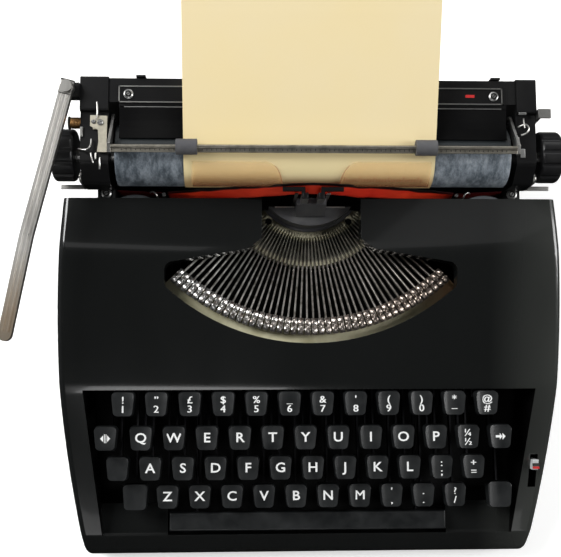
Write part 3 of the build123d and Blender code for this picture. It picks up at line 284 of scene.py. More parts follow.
def cardAmber():
    paint = Paint("cardAmber", (0.42, 0.19, 0.06), Roughness=0.2, Alpha=0.4, Specular_IOR_Level=0.4)
    smear = paint.noise(60, 4)
    # stained brown towards the writing line
    low = paint.ramp(paint.axis("Z") * 10, (0.885, 1.0), (0.955, 0.22), (1.0, 0.05))
    paint.feed(Base_Color=paint.mix(low, (0.95, 0.64, 0.28), (0.24, 0.05, 0.015)),
               Alpha=0.10 + low * 0.6 + smear * 0.06)
    return paint


def leverChrome():
    paint = Paint("leverChrome", (0.62, 0.60, 0.56), Metallic=1.0, Roughness=0.3)
    stain = paint.noise(70, 6, (1, 0.12, 1))
    # tarnished brown towards the finger end
    tip = paint.ramp(paint.axis("Y") * 10, (0.0, 1.0), (0.36, 0.0))
    worn = paint.mix(paint.ramp(stain, (0.36, 0.0), (0.66, 1.0)), (0.66, 0.65, 0.62), (0.36, 0.35, 0.33))
    paint.feed(Base_Color=paint.mix(tip * 0.75, worn, (0.34, 0.26, 0.17)), Roughness=0.24 + stain * 0.2)
    return paint.bump(stain, 0.08, 0.00008)


paints = {
    "gloss": glossBlack(),
    "satin": satinBlack("satinBlack"),
    "frameBlack": satinBlack("frameBlack", 0.004, 0.5, 0.14),
    "feet": satinBlack("feetRubber", 0.014, 0.75),
    "key": keyPlastic(),
    "chrome": typeChrome(),
    "trim": metal("trimChrome", (0.70, 0.69, 0.66), 0.26, 0.25, 160),
    "lever": leverChrome(),
    "rule": metal("ruledSteel", (0.34, 0.32, 0.27), 0.36, 0.4, 200),
    "knob": satinBlack("knobPlastic", 0.008, 0.34, 0.35),
    "steel": metal("brushedSteel", (0.50, 0.50, 0.49), 0.30, 0.4, 90, (1, 1, 0.2)),
    "segment": segmentRing(),
    "bar": barSteel(),
    "blade": metal("leverSteel", (0.028, 0.028, 0.03), 0.44, 0.4, 120),
    "moon": satinBlack("moonBlue", 0.06, 0.42, 0.4),
    "spool": metal("spoolGrey", (0.22, 0.235, 0.25), 0.42, 0.3, 60),
    "felt": feltPad(),
    "platen": platenRubber(),
    "paper": paperStock(),
    "ribbon": ribbonCloth(),
    "card": cardAmber(),
    "greyRubber": satinBlack("greyRubber", 0.085, 0.6, 0.2),
    "legend": Paint("legendWhite", (0.86, 0.87, 0.86), Roughness=0.45),
    "cream": metal("creamPlate", (0.62, 0.58, 0.47), 0.42, 0.35, 130),
    "tick": Paint("darkTick", (0.02, 0.018, 0.015), Roughness=0.6),
    "rust": Paint("amberTick", (0.28, 0.06, 0.02), Roughness=0.6),
    "brass": metal("agedBrass", (0.45, 0.25, 0.10), 0.35, 0.5, 150),
    "red": Paint("redEnamel", (0.55, 0.03, 0.03), Roughness=0.35),
    "lineWhite": Paint("tickWhite", (0.62, 0.64, 0.64), Roughness=0.5),
    "deflector": satinBlack("deflectorBlue", 0.0022, 0.65, 0.05),
    # painted shade: a duller, darker black for the inner walls of the keyboard well
    "wall_shade": satinBlack("wallPaintedShade", 0.0016, 0.6, 0.04),
    # painted shade for the screws' slots and ring gaps
    "slot_shade": Paint("slotPaintedShade", (0.002, 0.002, 0.002), Roughness=0.9),
}
print("paints:", len(paints))


# CAD nodes: welded, their edges softened, and painted
soft = {"weld": 0.002, "width": 0.3, "segments": 2, "angle": 32}


def dress(name, paint, width):
    node = nodes[name]
    node.data.materials.clear()
    node.data.materials.append(paints[paint].material)
    node.data.polygons.foreach_set("use_smooth", [True] * len(node.data.polygons))
    weld = node.modifiers.new("weld", "WELD")
    weld.merge_threshold = soft["weld"] * mm
    if width:
        soften = node.modifiers.new("soften", "BEVEL")
        soften.width = width * mm
        soften.segments = soft["segments"]
        soften.limit_method = "ANGLE"
        soften.angle_limit = math.radians(soft["angle"])
        soften.harden_normals = True
    flat = node.modifiers.new("flat", "WEIGHTED_NORMAL")
    flat.keep_sharp = True


def paintBy(name, paint, test, inward=False):
    # a second finish for the faces whose middle, in metres, passes the test; inward keeps to
    # the walls that look towards the centreline
    node = nodes[name]
    node.data.materials.append(paints[paint].material)
    last = len(node.data.materials) - 1
    for face in node.data.polygons:
        side = math.copysign(1, face.center.x)
        if test(face.center) and (not inward or face.normal.x * side < -0.5):
            face.material_index = last


looks = {
    "gloss": ["top_cover", "rear_housing"],
    "satin": ["end_plate_left", "end_plate_right", "paper_table", "margin_stop_left",
              "margin_stop_right"],
    "knob": ["knob_left", "knob_right"],
    "frameBlack": ["base_pan", "side_frame_left", "side_frame_right", "cross_beam", "lever_comb",
                   "spool_decks", "carriage_rail", "basket_tray", "type_rest", "carriage_bed",
                   "scale_strip", "feed_roller_front", "feed_roller_rear", "frame_lugs"],
    "feet": ["rubber_feet"],
    "steel": ["fulcrum_rod", "platen_shaft", "margin_rail"],
    "key": ["number_row_keys", "top_row_keys", "home_row_keys", "bottom_row_keys", "key_g",
            "shift_keys", "shift_lock_key", "backspace_key", "margin_release_key", "space_bar"],
    "lineWhite": ["colour_selector"],
    "chrome": ["typebars", "typebar_g", "ribbon_vibrator"],
    "segment": ["type_segment"],
    "moon": ["segment_plate", "type_guide"],
    "felt": ["type_pad"],
    "spool": ["ribbon_spool_left", "ribbon_spool_right"],
    "platen": ["platen"],
    "paper": ["paper_sheet"],
    "rule": ["paper_bail"],
    "lever": ["return_lever"],
    "trim": ["paper_release_lever", "release_tab_left", "release_tab_right"],
    "greyRubber": ["bail_roller_left", "bail_roller_right"],
}
softEdge = {"top_cover": 0.9, "rear_housing": 0.8, "typebars": 0.0, "typebar_g": 0.0, "paper_sheet": 0.0,
            "type_segment": 0.0, "platen": 0.0, "return_lever": 0.5, "knob_left": 0.5, "knob_right": 0.5,
            "ribbon_vibrator": 0.1, "lever_comb": 0.0}
for paint, names in looks.items():
    for name in names:
        dress(name, paint, softEdge.get(name, soft["width"]))
# key caps are plastic, and the levers under them are steel
capped = ["number_row_keys", "top_row_keys", "home_row_keys", "bottom_row_keys", "key_g", "shift_keys",
          "shift_lock_key", "backspace_key", "margin_release_key"]
capDeep = 6.0 * mm
capFar = 15.2 * mm
for name in capped:
    front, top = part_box(name)[0].y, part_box(name)[1].z
    paintBy(name, "blade", lambda at: at.z < top - capDeep or at.y > front + capFar)
# the bars are dull steel behind their bright slugs, which lie on an arc
slugArc = {"y": 0.112, "radius": 0.1085}
for name in ("typebars", "typebar_g"):
    paintBy(name, "bar", lambda at: math.hypot(at.x, at.y - slugArc["y"]) < slugArc["radius"])
# the guide's prongs are chromed, and its crosspiece above them is black
prongLow, prongHigh = 0.0765, 0.0865
paintBy("type_guide", "frameBlack", lambda at: at.z > prongHigh)
paintBy("type_guide", "trim", lambda at: prongLow < at.z <= prongHigh)
# the head of the lever's pivot, and the bent ends of the bail
pivotTop = 0.1072
bailEnd = 0.1085
paintBy("end_plate_left", "lever", lambda at: at.z > pivotTop)
paintBy("paper_bail", "trim", lambda at: abs(at.x) > bailEnd)
# painted shade: the inner walls of the keyboard well, which face the centreline, are painted a duller black
# than the gloss cover
paintBy("top_cover", "wall_shade", lambda at: at.y < 0, True)
# the bar's cap is plastic, and its two arms are steel
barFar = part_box("space_bar")[0].y + 11.5 * mm
paintBy("space_bar", "blade", lambda at: at.y > barFar)
print("CAD nodes painted")


# New pieces: each rides the body of the CAD node that it is like
def newPiece(name, mesh, paint, like):
    piece = bpy.data.objects.new(name, mesh)
    bpy.context.scene.collection.objects.link(piece)
    mesh.materials.append(paints[paint].material)
    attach(piece, bodyOf[like])
    return piece


def fromBmesh(name, bm, paint, like, smooth=False):
    bmesh.ops.recalc_face_normals(bm, faces=bm.faces)
    mesh = bpy.data.meshes.new(name)
    bm.to_mesh(mesh)
    bm.free()
    mesh.polygons.foreach_set("use_smooth", [smooth] * len(mesh.polygons))
    return newPiece(name, mesh, paint, like)


def addBox(bm, low, high, bevel=0.0):
    low, high = Vector(low), Vector(high)
    place = Matrix.Translation((low + high) / 2) @ Matrix.Diagonal((*(high - low), 1))
    made = bmesh.ops.create_cube(bm, size=1, matrix=place)
    if bevel:
        edges = list({e for v in made["verts"] for e in v.link_edges})
        bmesh.ops.bevel(bm, geom=edges, offset=bevel, segments=2, profile=0.5, affect="EDGES",
                        material=-1)


def addRod(bm, start, end, radius, sides=20, taper=1.0):
    start, end = Vector(start), Vector(end)
    turn = (end - start).to_track_quat("Z", "Y").to_matrix().to_4x4()
    place = Matrix.Translation((start + end) / 2) @ turn
    bmesh.ops.create_cone(bm, cap_ends=True, segments=sides, radius1=radius, radius2=radius * taper,
                          depth=(end - start).length, matrix=place)


# Key legends: white letters that lie in the dish of each cap
legend = {"letter": 7.7, "figure": 5.7, "wide": 1.1, "rise": 0.05, "dishRadius": 22.0, "dishDepth": 0.9,
          "upper": 2.15, "lower": -3.05, "capLength": 14.4, "thicken": 0.13, "lift": 0.03}
legendRows = {
    "number_row_keys": ["!1", "”2", "£3", "$4", "%5", "_6", "&7", "'8", "(9", ")0", "*–", "@#"],
    "top_row_keys": [*"QWERTYUIOP", "¼½"],
    "home_row_keys": [*"ASDF", "", *"HJKL", ":;", "+="],
    "bottom_row_keys": [*"ZXCVBNM", "',", "..", "?/"],
    "key_g": ["G"],
}
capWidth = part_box("key_g")[1].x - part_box("key_g")[0].x


def glyph(text, size, offset):
    curve = bpy.data.curves.new("glyph", "FONT")
    curve.body = text
    curve.size = size * mm
    curve.offset = offset * mm
    curve.align_x = "CENTER"
    curve.align_y = "CENTER"
    curve.resolution_u = 3
    carrier = bpy.data.objects.new("glyph", curve)
    bpy.context.scene.collection.objects.link(carrier)
    bpy.context.view_layer.update()
    mesh = bpy.data.meshes.new_from_object(carrier)
    bpy.data.objects.remove(carrier)
    bpy.data.curves.remove(curve)
    return mesh


def layOnCap(bm, mesh, x, y, top):
    # the letter follows the cylinder of the dish
    start = len(bm.verts)
    bm.from_mesh(mesh)
    bm.verts.ensure_lookup_table()
    radius = legend["dishRadius"] * mm
    for vert in bm.verts[start:]:
        dip = radius - math.sqrt(radius ** 2 - vert.co.x ** 2) - legend["dishDepth"] * mm
        vert.co = Vector((x + vert.co.x * legend["wide"], y + vert.co.y, top + dip + legend["rise"] * mm))
    bpy.data.meshes.remove(mesh)


for node, row in legendRows.items():
    low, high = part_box(node)
    pitch = (high.x - low.x - capWidth) / max(len(row) - 1, 1)
    middle = low.y + legend["capLength"] / 2 * mm
    bm = bmesh.new()
    for place, marks in enumerate(row):
        x = low.x + capWidth / 2 + place * pitch
        size = legend["letter" if len(marks) == 1 else "figure"]
        rises = (0,) if len(marks) == 1 else (legend["upper"], legend["lower"])
        for mark, rise in zip(marks, rises):
            # small marks and the M would fill in if offset, so they are laid twice, side by side
            thick = legend["thicken"]
            twice = len(marks) > 1 or mark == "M"
            for shift in ((-thick, thick) if twice else (0,)):
                lift = legend["lift"] * mm if shift > 0 else 0
                layOnCap(bm, glyph(mark, size, 0 if twice else thick), x + shift * mm,
                         middle + rise * mm, high.z + lift)
    fromBmesh("legend_" + node, bm, "legend", node)
print("legends laid")

# Arrows on the two side keys
arrow = {"half": 2.9, "head": 1.9, "bar": 0.42, "gap": 1.15}


def arrowKey(node, polygons):
    low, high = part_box(node)
    x = (low.x + high.x) / 2
    y = low.y + legend["capLength"] / 2 * mm
    bm = bmesh.new()
    for polygon in polygons:
        corners = []
        for px, py in polygon:
            dip = (px ** 2 / (2 * legend["dishRadius"]) - legend["dishDepth"] + legend["rise"]) * mm
            corners.append(bm.verts.new((x + px * mm, y + py * mm, high.z + dip)))
        bm.faces.new(corners)
    fromBmesh("legend_" + node, bm, "legend", node)


h, t, b, g = (arrow[k] for k in ("half", "head", "bar", "gap"))
arrowKey("backspace_key", [
    [(-h, -b * 1.6), (-0.5, -b * 1.6), (-0.5, b * 1.6), (-h, b * 1.6)],
    [(-0.5, -t), (1.0, 0), (-0.5, t)],
    [(1.1, -t), (h, 0), (1.1, t)],
])
heads = [[(side * h, 0), (side * g, -side * t), (side * g, side * t)] for side in (1, -1)]
strokes = [[(x - b / 2, -t - 0.6), (x + b / 2, -t - 0.6), (x + b / 2, t + 0.6), (x - b / 2, t + 0.6)]
           for x in (-0.45, 0.45)]
arrowKey("margin_release_key", heads + strokes)


# Wires, sheets and screws
def wires(name, paint, like, radius, *paths):
    # bent round wire: one smooth spline per path, in mm
    curve = bpy.data.curves.new(name, "CURVE")
    curve.dimensions = "3D"
    curve.bevel_depth = radius * mm
    curve.bevel_resolution = 3
    curve.resolution_u = 6
    curve.use_fill_caps = True
    for path in paths:
        spline = curve.splines.new("NURBS")
        spline.points.add(len(path) - 1)
        for point, place in zip(spline.points, path):
            point.co = (*(Vector(place) * mm), 1)
        spline.order_u = 3
        spline.use_endpoint_u = True
    return newPiece(name, curve, paint, like)


def surface(name, paint, like, columns, rows, place, thick=0.0, uv=False):
    # a sheet over a grid: place(u, v) gives mm, with u and v from 0 to 1
    bm = bmesh.new()
    layer = bm.loops.layers.uv.new("along") if uv else None
    grid = [[bm.verts.new(Vector(place(i / columns, j / rows)) * mm) for j in range(rows + 1)]
            for i in range(columns + 1)]
    for i in range(columns):
        for j in range(rows):
            corners = ((i, j), (i + 1, j), (i + 1, j + 1), (i, j + 1))
            face = bm.faces.new([grid[a][b] for a, b in corners])
            if uv:
                for loop, (a, b) in zip(face.loops, corners):
                    loop[layer].uv = (a / columns, b / rows)
    mesh = bpy.data.meshes.new(name)
    bm.to_mesh(mesh)
    bm.free()
    mesh.polygons.foreach_set("use_smooth", [True] * len(mesh.polygons))
    piece = newPiece(name, mesh, paint, like)
    if thick:
        solid = piece.modifiers.new("thick", "SOLIDIFY")
        solid.thickness = thick * mm
        solid.offset = 0
    return piece


def boxes(name, paint, like, *corners, bevel=0.0):
    # low and high corners in mm
    bm = bmesh.new()
    for low, high in corners:
        addBox(bm, Vector(low) * mm, Vector(high) * mm, bevel * mm)
    return fromBmesh(name, bm, paint, like)


screwForm = {"sides": 28, "rim": 0.5, "crown": 0.9, "slotDeep": 0.06, "slotWide": 0.16, "ringRise": 0.25}


def screws(name, like, *places, ring=False):
    # round heads that face up: x, y, z of the seat, radius and the slot's angle, and a ring is
    # a gap round a bright middle; the slots and the gap are dark pieces of painted shade
    sides, rim, crown = (screwForm[k] for k in ("sides", "rim", "crown"))
    head, slot = bmesh.new(), bmesh.new()
    for x, y, z, radius, angle in places:
        seat = Vector((x, y, z)) * mm
        edge = seat + Vector((0, 0, rim * mm))
        addRod(head, seat, edge, radius * mm, sides)
        addRod(head, edge, seat + Vector((0, 0, crown * mm)), radius * 0.96 * mm, sides, 0.74)
        turn = Matrix.Rotation(math.radians(angle), 4, "Z")
        high = seat + Vector((0, 0, (crown + 0.01) * mm))
        if ring:
            addRod(slot, seat, high, radius * 0.66 * mm, sides)
            high = high + Vector((0, 0, screwForm["ringRise"] * mm))
            addRod(head, seat, high, radius * 0.46 * mm, sides, 0.8)
        long = radius * (0.36 if ring else 0.66) * 2 * mm
        cut = (long, radius * screwForm["slotWide"] * mm, screwForm["slotDeep"] * mm, 1)
        bmesh.ops.create_cube(slot, size=1, matrix=Matrix.Translation(high) @ turn @ Matrix.Diagonal(cut))
    fromBmesh(name, head, "steel", like)
    fromBmesh(name + "_slots", slot, "slot_shade", like)


# Chrome border and slotted rings on the scale strip
strip = {"left": -107.0, "right": 104.5, "front": 117.6, "rear": 127.0, "top": 101.0, "line": 0.6}
L, R, F, B, T, W = (strip[k] for k in ("left", "right", "front", "rear", "top", "line"))
boxes("strip_border", "trim", "scale_strip",
      ((L, F, T), (R, F + W, T + 0.4)), ((L, B - W, T), (R, B, T + 0.4)),
      ((L, F, T), (L + W, B, T + 0.4)), ((R - W, F, T), (R, B, T + 0.4)))
screws("strip_screws", "scale_strip", (-101.6, 122.3, T, 2.7, 30), (99.6, 122.3, T, 2.7, 60), ring=True)
boxes("strip_mark", "red", "scale_strip", ((84.0, 121.6, T), (89.0, 123.2, T + 0.1)))
table = {"half": 104, "front": 115.2, "top": 100.2}
boxes("table_edge", "steel", "paper_table",
      ((-table["half"], table["front"], table["top"] - 0.1),
       (table["half"], table["front"] + 0.5, table["top"] + 0.25)))

# Curved deflector between the platen's top and the table
deflectorHalf = 106.5
path = [(97.6, 101.25), (100.5, 100.5), (104.0, 99.7), (108.0, 99.5), (111.5, 99.9), (115.0, 100.45)]


def deflectorPlace(u, v):
    at = v * (len(path) - 1)
    k = min(int(at), len(path) - 2)
    low, high = Vector(path[k]), Vector(path[k + 1])
    y, z = low.lerp(high, at - k)
    return (-deflectorHalf + 2 * deflectorHalf * u, y, z)


surface("paper_deflector", "deflector", "paper_table", 6, 25, deflectorPlace, 0.4)

# Card guides: clear amber sheets with a rounded inner corner, close to the paper
cardAxis = Vector((92.0, 84.0))
card = {"radius": 18.7, "low": 166.0, "high": 112.0, "left": (-67.0, -17.5), "right": (64.5, 14.8),
        "round": 9.5, "thick": 0.3}


def cardPlace(side, u, v):
    outer, inner = card[side]
    cut = card["round"] * (1 - math.sqrt(max(0.0, 1 - v ** 2.6)))
    x = outer + (inner + math.copysign(cut, outer) - outer) * u
    turn = math.radians(card["low"] + (card["high"] - card["low"]) * v)
    return (x, cardAxis.x + card["radius"] * math.cos(turn), cardAxis.y + card["radius"] * math.sin(turn))


for side in ("left", "right"):
    sheet = surface("card_sheet_" + side, "card", "card_guide_" + side, 24, 24,
                    lambda u, v: cardPlace(side, u, v), card["thick"])
    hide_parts("card_guide_" + side)
    rim = [cardPlace(side, 1.0, j / 16) for j in range(15)]
    wires("card_rim_" + side, "rust", "card_guide_" + side, 0.16, rim)
ticks = bmesh.new()
for k in range(27):
    u = 1 - (k + 1) / 30
    low, high = (Vector(cardPlace("right", u, v)) for v in (0.30, 0.42 if k % 5 else 0.50))
    out = (low - Vector((low.x, *cardAxis))).normalized() * 0.2
    addRod(ticks, (low + out) * mm, (high + out) * mm, 0.18 * mm, 6)
fromBmesh("card_ticks", ticks, "rust", "card_guide_right")

# Ruled ticks on the bail's strip, and its bent arms
bail = {"y": 91.5, "z": 107.4, "pitch": 2.54, "rollers": ((-76, -62.8), (53.7, 67.0))}
marks = bmesh.new()
for k in range(-41, 42):
    x = k * bail["pitch"]
    if all(not a < x < b for a, b in bail["rollers"]):
        long = 0.8 if k % 5 else 1.25
        addBox(marks, Vector((x - 0.16, bail["y"] - 2.2, bail["z"] + 0.55)) * mm,
               Vector((x + 0.16, bail["y"] - 2.2 + long, bail["z"] + 0.95)) * mm)
fromBmesh("bail_ticks", marks, "tick", "paper_bail")

# Cream bracket with its rivet, springs and hooks at the left end
bracket = bmesh.new()
outline = ((-122.3, 110.6), (-122.3, 104.6), (-118.0, 102.4), (-117.6, 96.0), (-118.4, 90.2),
           (-113.0, 90.0), (-113.2, 96.0), (-113.0, 110.2))
seat, sheetThick = 99.4, 1.0
foot = [bracket.verts.new(Vector((x, y, seat)) * mm) for x, y in outline]
raised = bmesh.ops.extrude_face_region(bracket, geom=[bracket.faces.new(foot)])["geom"]
bmesh.ops.translate(bracket, verts=[v for v in raised if isinstance(v, bmesh.types.BMVert)],
                    vec=(0, 0, sheetThick * mm))
addBox(bracket, Vector((-121.0, 103.0, 96.0)) * mm, Vector((-114.0, 109.5, seat)) * mm)
fromBmesh("cream_bracket", bracket, "cream", "end_plate_left")
screws("bracket_rivet", "end_plate_left", (-116.8, 106.6, seat + sheetThick, 1.7, 20),
       (-120.4, 106.9, seat + sheetThick, 1.2, 70))
spring = {"start": -128.2, "step": 0.105, "y": 107.5, "z": 95.0, "radius": 3.0, "points": 53, "wire": 0.42}
coil = [(spring["start"] - t * spring["step"],
         spring["y"] + spring["radius"] * math.cos(t * math.pi / 4),
         spring["z"] + spring["radius"] * math.sin(t * math.pi / 4)) for t in range(spring["points"])]
wires("pawl_spring", "brass", "end_plate_left", spring["wire"], coil)
stud = bmesh.new()
for near, far, radius in ((-127.8, -134.2, 2.3), (-134.0, -134.8, 3.6)):
    addRod(stud, Vector((near, spring["y"], spring["z"])) * mm, Vector((far, spring["y"], spring["z"])) * mm,
           radius * mm, 24)
fromBmesh("pawl_stud", stud, "tick", "end_plate_left")
wires("left_hooks", "trim", "end_plate_left", 0.5,
      [(-128.6, 92.2, 99.0), (-125.6, 90.8, 101.0), (-122.6, 91.6, 101.4), (-121.4, 95.0, 100.6),
       (-121.8, 97.4, 99.4)],
      [(-121.8, 89.8, 99.2), (-121.4, 86.6, 99.6), (-120.6, 84.6, 98.6)],
      [(-117.0, 87.4, 98.4), (-116.8, 84.6, 99.4), (-117.2, 81.2, 98.0)],
      [(-118.6, 117.6, 101.2), (-117.8, 112.6, 102.0), (-119.0, 108.2, 100.6)])
boxes("left_tabs", "trim", "end_plate_left", ((-128.0, 99.0, 97.6), (-126.4, 104.4, 99.4)),
      ((-119.6, 86.4, 97.8), (-118.8, 90.0, 99.3)), bevel=0.2)
wires("right_hooks", "trim", "end_plate_right", 0.5,
      [(113.6, 105.6, 99.2), (115.2, 106.4, 101.2), (118.0, 106.6, 101.2), (119.4, 104.0, 100.8),
       (117.6, 101.4, 100.4), (115.0, 101.0, 99.4)],
      [(113.6, 99.6, 99.0), (113.2, 96.6, 100.4), (114.2, 94.2, 99.2)],
      [(116.6, 110.4, 99.4), (116.0, 107.0, 101.4), (116.6, 104.6, 101.6)])
boxes("right_tabs", "steel", "end_plate_right", ((114.6, 88.4, 97.9), (117.2, 93.4, 98.7)),
      ((113.4, 112.0, 100.9), (117.6, 113.4, 101.6)), bevel=0.2)
wires("right_arm", "trim", "paper_bail", 0.75,
      [(110.9, 109.6, 93.6), (110.8, 104.0, 99.4), (110.6, 97.6, 105.0), (110.2, 92.0, 108.4)])

# Return lever: two ridges along its top, and a flat cap on its pivot
leverTop = 107.4
pivot, elbow, tip = (Vector((x, y, leverTop)) for x, y in ((-134.2, 124.2), (-153.8, 43.5), (-163.6, -9.0)))
upwards = Vector((0, 0, 1))
ridgeForm = {"wide": 1.5, "foot": -0.2, "overlap": 0.6, "short": 1.5, "ridges": ((-1.5, 0.55), (1.2, 0.35))}
wide, foot = ridgeForm["wide"], ridgeForm["foot"]
ridge = bmesh.new()
for start, end in ((pivot, elbow), (elbow, tip)):
    along = (end - start).normalized()
    across = along.cross(upwards)
    low = start - along * (0 if start is pivot else ridgeForm["overlap"])
    high = end - along * (ridgeForm["short"] if end is tip else 0)
    for shift, rise in ridgeForm["ridges"]:
        ring = [(shift - wide / 2, foot), (shift - wide / 4, rise), (shift + wide / 4, rise),
                (shift + wide / 2, foot)]
        near, far = ([ridge.verts.new((at + across * a + Vector((0, 0, b))) * mm) for a, b in ring]
                     for at in (low, high))
        for k in range(4):
            ridge.faces.new((near[k], near[(k + 1) % 4], far[(k + 1) % 4], far[k]))
        ridge.faces.new(near)
        ridge.faces.new(far)
fromBmesh("lever_ridges", ridge, "lever", "return_lever")
side = (elbow - pivot).normalized()
turn = Matrix((side.cross(upwards), side, upwards)).transposed().to_4x4()
for name, paint, size, shift in (("lever_head", "lever", (7.4, 7.2, 1.2), (0, 0.4, 0.35)),
                                 ("lever_edge", "tick", (7.6, 0.8, 1.5), (0, -3.6, 0.3)),
                                 ("lever_rivet", "steel", (2.0, 2.0, 0.5), (0, 1.2, 1.1))):
    cap = bmesh.new()
    place = Matrix.Translation(pivot * mm) @ turn @ Matrix.Translation(Vector(shift) * mm)
    bmesh.ops.create_cube(cap, size=1, matrix=place @ Matrix.Diagonal((*(Vector(size) * mm), 1)))
    bmesh.ops.bevel(cap, geom=cap.edges[:], offset=0.2 * mm, segments=2, profile=0.5, affect="EDGES")
    fromBmesh(name, cap, paint, "return_lever")
print("carriage dressed")


# A bright line along the plate's flat edge, and a row of small chrome beads across the bars: painted
# highlights standing in for the glints where the bars bend
boxes("plate_line", "trim", "segment_plate",
      *(((low, 66.8, 61.4), (high, 67.5, 61.9)) for low, high in ((-20.5, -9.2), (9.2, 20.5))))
barFan = {"count": 44, "pivotAngle": 56.0, "headAngle": 42.0, "pivotRadius": 42.0, "headRadius": 115.0,
          "pivotY": 88.0, "headY": 112.0, "along": 0.31, "lowest": 42.0, "studded": 0.8, "stud": 0.42,
          "from": 90.0}


def onArc(end, angle):
    radius = barFan[end + "Radius"]
    return Vector((radius * math.sin(angle), barFan[end + "Y"] - radius * math.cos(angle)))


barMesh = nodes["typebars"].data
barTree = BVHTree.FromPolygons([v.co for v in barMesh.vertices], [f.vertices for f in barMesh.polygons])
glint_beads = bmesh.new()
for k in range(barFan["count"]):
    share = 2 * k / (barFan["count"] - 1) - 1
    root, head = math.radians(barFan["pivotAngle"] * share), math.radians(barFan["headAngle"] * share)
    x, y = onArc("pivot", root).lerp(onArc("head", head), barFan["along"]) * mm
    hits = [barTree.ray_cast(Vector((x + dx * mm, y, barFan["from"] * mm)), -upwards)[0] or Vector((x, y, 0))
            for dx in (-0.5, -0.25, 0, 0.25, 0.5)]
    best = max(hits, key=lambda at: at.z)
    if best.z > barFan["lowest"] * mm and abs(share) < barFan["studded"]:
        bmesh.ops.create_uvsphere(glint_beads, u_segments=10, v_segments=6, radius=barFan["stud"] * mm,
                                  matrix=Matrix.Translation(best))
fromBmesh("bar_glint_beads", glint_beads, "chrome", "typebars", True)
print("basket dressed")

# The band dips from the guide at the middle to the posts, a little wavy, red under a black edge
cloth = 0.12
band = {"half": 82.5, "y": 72.5, "z": 86.8, "height": 13.0, "level": 13.0, "fall": 19.5, "lean": 17.0}


def bandPlace(u, v):
    x = (2 * u - 1) * band["half"]
    slope = max(0.0, abs(x) - band["level"]) / (band["half"] - band["level"])
    wave = math.sin(x * 0.16 + 0.6) * 0.55 + math.sin(x * 0.37 + 1.3) * 0.3
    up = (v - 0.5) * band["height"] * (1 - 0.16 * slope)
    lean = math.radians(band["lean"] * (1 + 0.3 * slope * (1 - slope) * 4))
    ease = min(1.0, slope * 5)
    middle = 0.7 * max(0.0, 1 - abs(x) / 15) ** 0.5
    return (x, band["y"] + middle + math.sin(lean) * up - abs(wave) * 0.5 * ease - 0.25 * slope,
            band["z"] - band["fall"] * slope ** 1.2 + math.cos(lean) * up + wave * ease)


bandPiece = surface("ribbon_band", "ribbon", "ribbon", 150, 8, bandPlace, cloth, True)
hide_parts("ribbon")
# straight runs from the posts to the lugs, and from there towards the spools
for side in (-1, 1):
    name = "left" if side < 0 else "right"
    runPiece = surface("ribbon_run_" + name, "ribbon", "ribbon", 20, 4,
                       lambda u, v: (side * (83.4 + 28.2 * u), 73.0 + 1.6 * u + (v - 0.5) * 1.3,
                                     60.5 + 10.5 * v - 1.5 * u), cloth, True)
    wrapPiece = surface("ribbon_wrap_" + name, "ribbon", "ribbon", 12, 4,
                        lambda u, v: (side * (116.0 + 1.6 * u), 69.8 - 13.0 * u, 57.0 + 10.0 * v),
                        cloth, True)
    wires("ribbon_hook_" + name, "trim", "ribbon", 0.55,
          [(side * x, y, z) for x, y, z in ((92.4, 73.6, 70.6), (91.4, 74.2, 72.6), (89.4, 73.2, 73.0),
                                            (88.2, 71.4, 72.6), (88.0, 70.6, 71.0))])
screws("lug_rings", "frame_lugs", (-117.6, 73.6, 69.0, 3.0, 15), (117.6, 73.6, 69.0, 3.0, 60), ring=True)
screws("post_heads", "spool_decks", (-84.5, 72.5, 71.0, 1.2, 0), (84.5, 72.5, 71.0, 1.2, 40))
print("ribbon dressed")

# Selector: a black and a red band across its white button
for name, paint, front, rear in (("selector_black", "tick", -84.6, -83.0),
                                 ("selector_red", "red", -86.2, -84.9)):
    boxes(name, paint, "colour_selector", ((131.7, front, 46.5), (135.3, rear, 48.25)))

# Camera, floor and lights
view = {"elevation": 84.0, "turn": 2.12, "distance": 528.84, "target": (-17.74, 24.22, 70.0),
        "lens": 59.33, "sensor": 36.0}


def makeCamera():
    rise, turn = math.radians(view["elevation"]), math.radians(view["turn"])
    forward = Vector((math.sin(turn), math.cos(rise) * math.cos(turn), -math.sin(rise) * math.cos(turn)))
    right = Vector((math.cos(turn), -math.cos(rise) * math.sin(turn), math.sin(rise) * math.sin(turn)))
    up = right.cross(forward)
    data = bpy.data.cameras.new("camera")
    data.lens = view["lens"]
    data.sensor_width = view["sensor"]
    camera = bpy.data.objects.new("camera", data)
    bpy.context.scene.collection.objects.link(camera)
    turned = Matrix((right, up, -forward)).transposed().to_4x4()
    place = (Vector(view["target"]) - forward * view["distance"]) * mm
    camera.matrix_world = Matrix.Translation(place) @ turned
    bpy.context.scene.camera = camera


makeCamera()

floor = {"size": 6.0, "colour": (0.93, 0.93, 0.92), "glow": 0.45}
bm = bmesh.new()
bmesh.ops.create_grid(bm, x_segments=1, y_segments=1, size=floor["size"] / 2)
mesh = bpy.data.meshes.new("floor")
bm.to_mesh(mesh)
bm.free()
ground = bpy.data.objects.new("floor", mesh)
bpy.context.scene.collection.objects.link(ground)
mesh.materials.append(Paint("floorPaint", floor["colour"], Roughness=0.9, Emission_Strength=floor["glow"],
                            Emission_Color=(1, 1, 1, 1)).material)
ground.visible_glossy = False

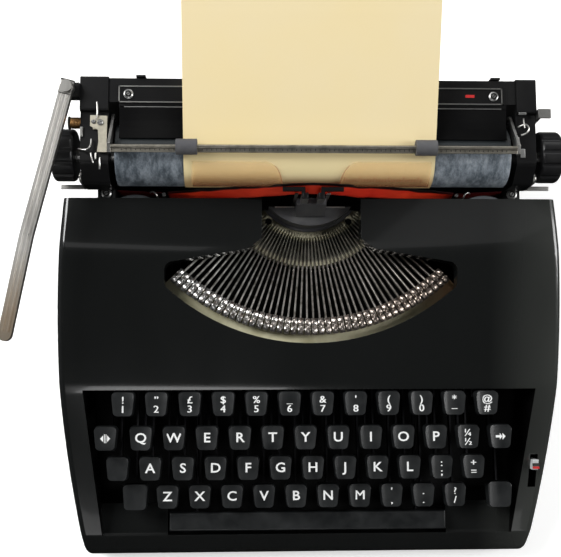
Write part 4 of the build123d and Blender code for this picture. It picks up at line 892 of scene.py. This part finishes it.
lights = {
    "window": {"place": (-1.15, 0.65, 1.05), "aim": (0, 0, 0.05), "size": (0.7, 1.0), "power": 27.0},
    "fill": {"place": (1.3, 0.1, 0.9), "aim": (0, 0, 0.05), "size": (0.5, 1.1), "power": 15.0},
    "rear": {"place": (0.1, 1.5, 0.85), "aim": (0, 0, 0.05), "size": (1.6, 0.6), "power": 7.0},
    "desk": {"place": (-0.2, -1.05, 1.5), "aim": (0, 0.04, 0.06), "size": (0.5, 0.35), "power": 2.0},
    "front": {"place": (0.0, -1.4, 0.9), "aim": (0, 0, 0.05), "size": (1.2, 0.3), "power": 1.2},
    "glow": {"place": (0.34, 0.2, 1.6), "aim": (0.1, 0, 0.07), "size": (0.22, 0.6), "power": 0.12},
    "gleam": {"place": (-0.36, 0.1, 1.6), "aim": (-0.1, 0, 0.07), "size": (0.12, 0.5), "power": 0.10},
}
for name, facts in lights.items():
    data = bpy.data.lights.new(name, "AREA")
    data.shape = "RECTANGLE"
    data.size, data.size_y = facts["size"]
    data.energy = facts["power"]
    lamp = bpy.data.objects.new(name, data)
    bpy.context.scene.collection.objects.link(lamp)
    lamp.location = facts["place"]
    towards = Vector(facts["aim"]) - Vector(facts["place"])
    lamp.rotation_euler = towards.to_track_quat("-Z", "Y").to_euler()

world = bpy.data.worlds.new("room")
bpy.context.scene.world = world
world.use_nodes = True
tree = world.node_tree
direction = tree.nodes.new("ShaderNodeTexCoord")
parts = tree.nodes.new("ShaderNodeSeparateXYZ")
tree.links.new(direction.outputs["Generated"], parts.inputs[0])
# bright at the horizon, dark overhead and underfoot, and dimmer towards the typist
sky = {"Z": ((0.0, 0.05), (0.49, 0.06), (0.515, 0.60), (0.54, 0.20), (0.68, 0.18), (0.90, 0.02)),
       "Y": ((0.0, 0.07), (0.35, 0.2), (0.6, 1.0))}
shades = []
for letter, stops in sky.items():
    shift = tree.nodes.new("ShaderNodeMapRange")
    shift.inputs["From Min"].default_value = -1
    ramp = tree.nodes.new("ShaderNodeValToRGB")
    while len(ramp.color_ramp.elements) < len(stops):
        ramp.color_ramp.elements.new(0.5)
    for stop, (place, shade) in zip(ramp.color_ramp.elements, stops):
        stop.position = place
        stop.color = (shade, shade, shade, 1)
    tree.links.new(parts.outputs[letter], shift.inputs["Value"])
    tree.links.new(shift.outputs["Result"], ramp.inputs["Fac"])
    shades.append(ramp.outputs["Color"])
both = tree.nodes.new("ShaderNodeMath")
both.operation = "MULTIPLY"
for socket, shade in zip(both.inputs, shades):
    tree.links.new(shade, socket)
# seen straight on, the backdrop is as pale as the floor
rays = tree.nodes.new("ShaderNodeLightPath")
seen = tree.nodes.new("ShaderNodeMix")
tree.links.new(rays.outputs["Is Camera Ray"], seen.inputs[0])
tree.links.new(both.outputs[0], seen.inputs[2])
seen.inputs[3].default_value = 1.0
tree.links.new(seen.outputs[0], tree.nodes["Background"].inputs["Strength"])
tree.nodes["Background"].inputs["Color"].default_value = (0.97, 0.98, 1.0, 1)
bpy.context.scene.view_settings.view_transform = "Standard"
print("stage ready")
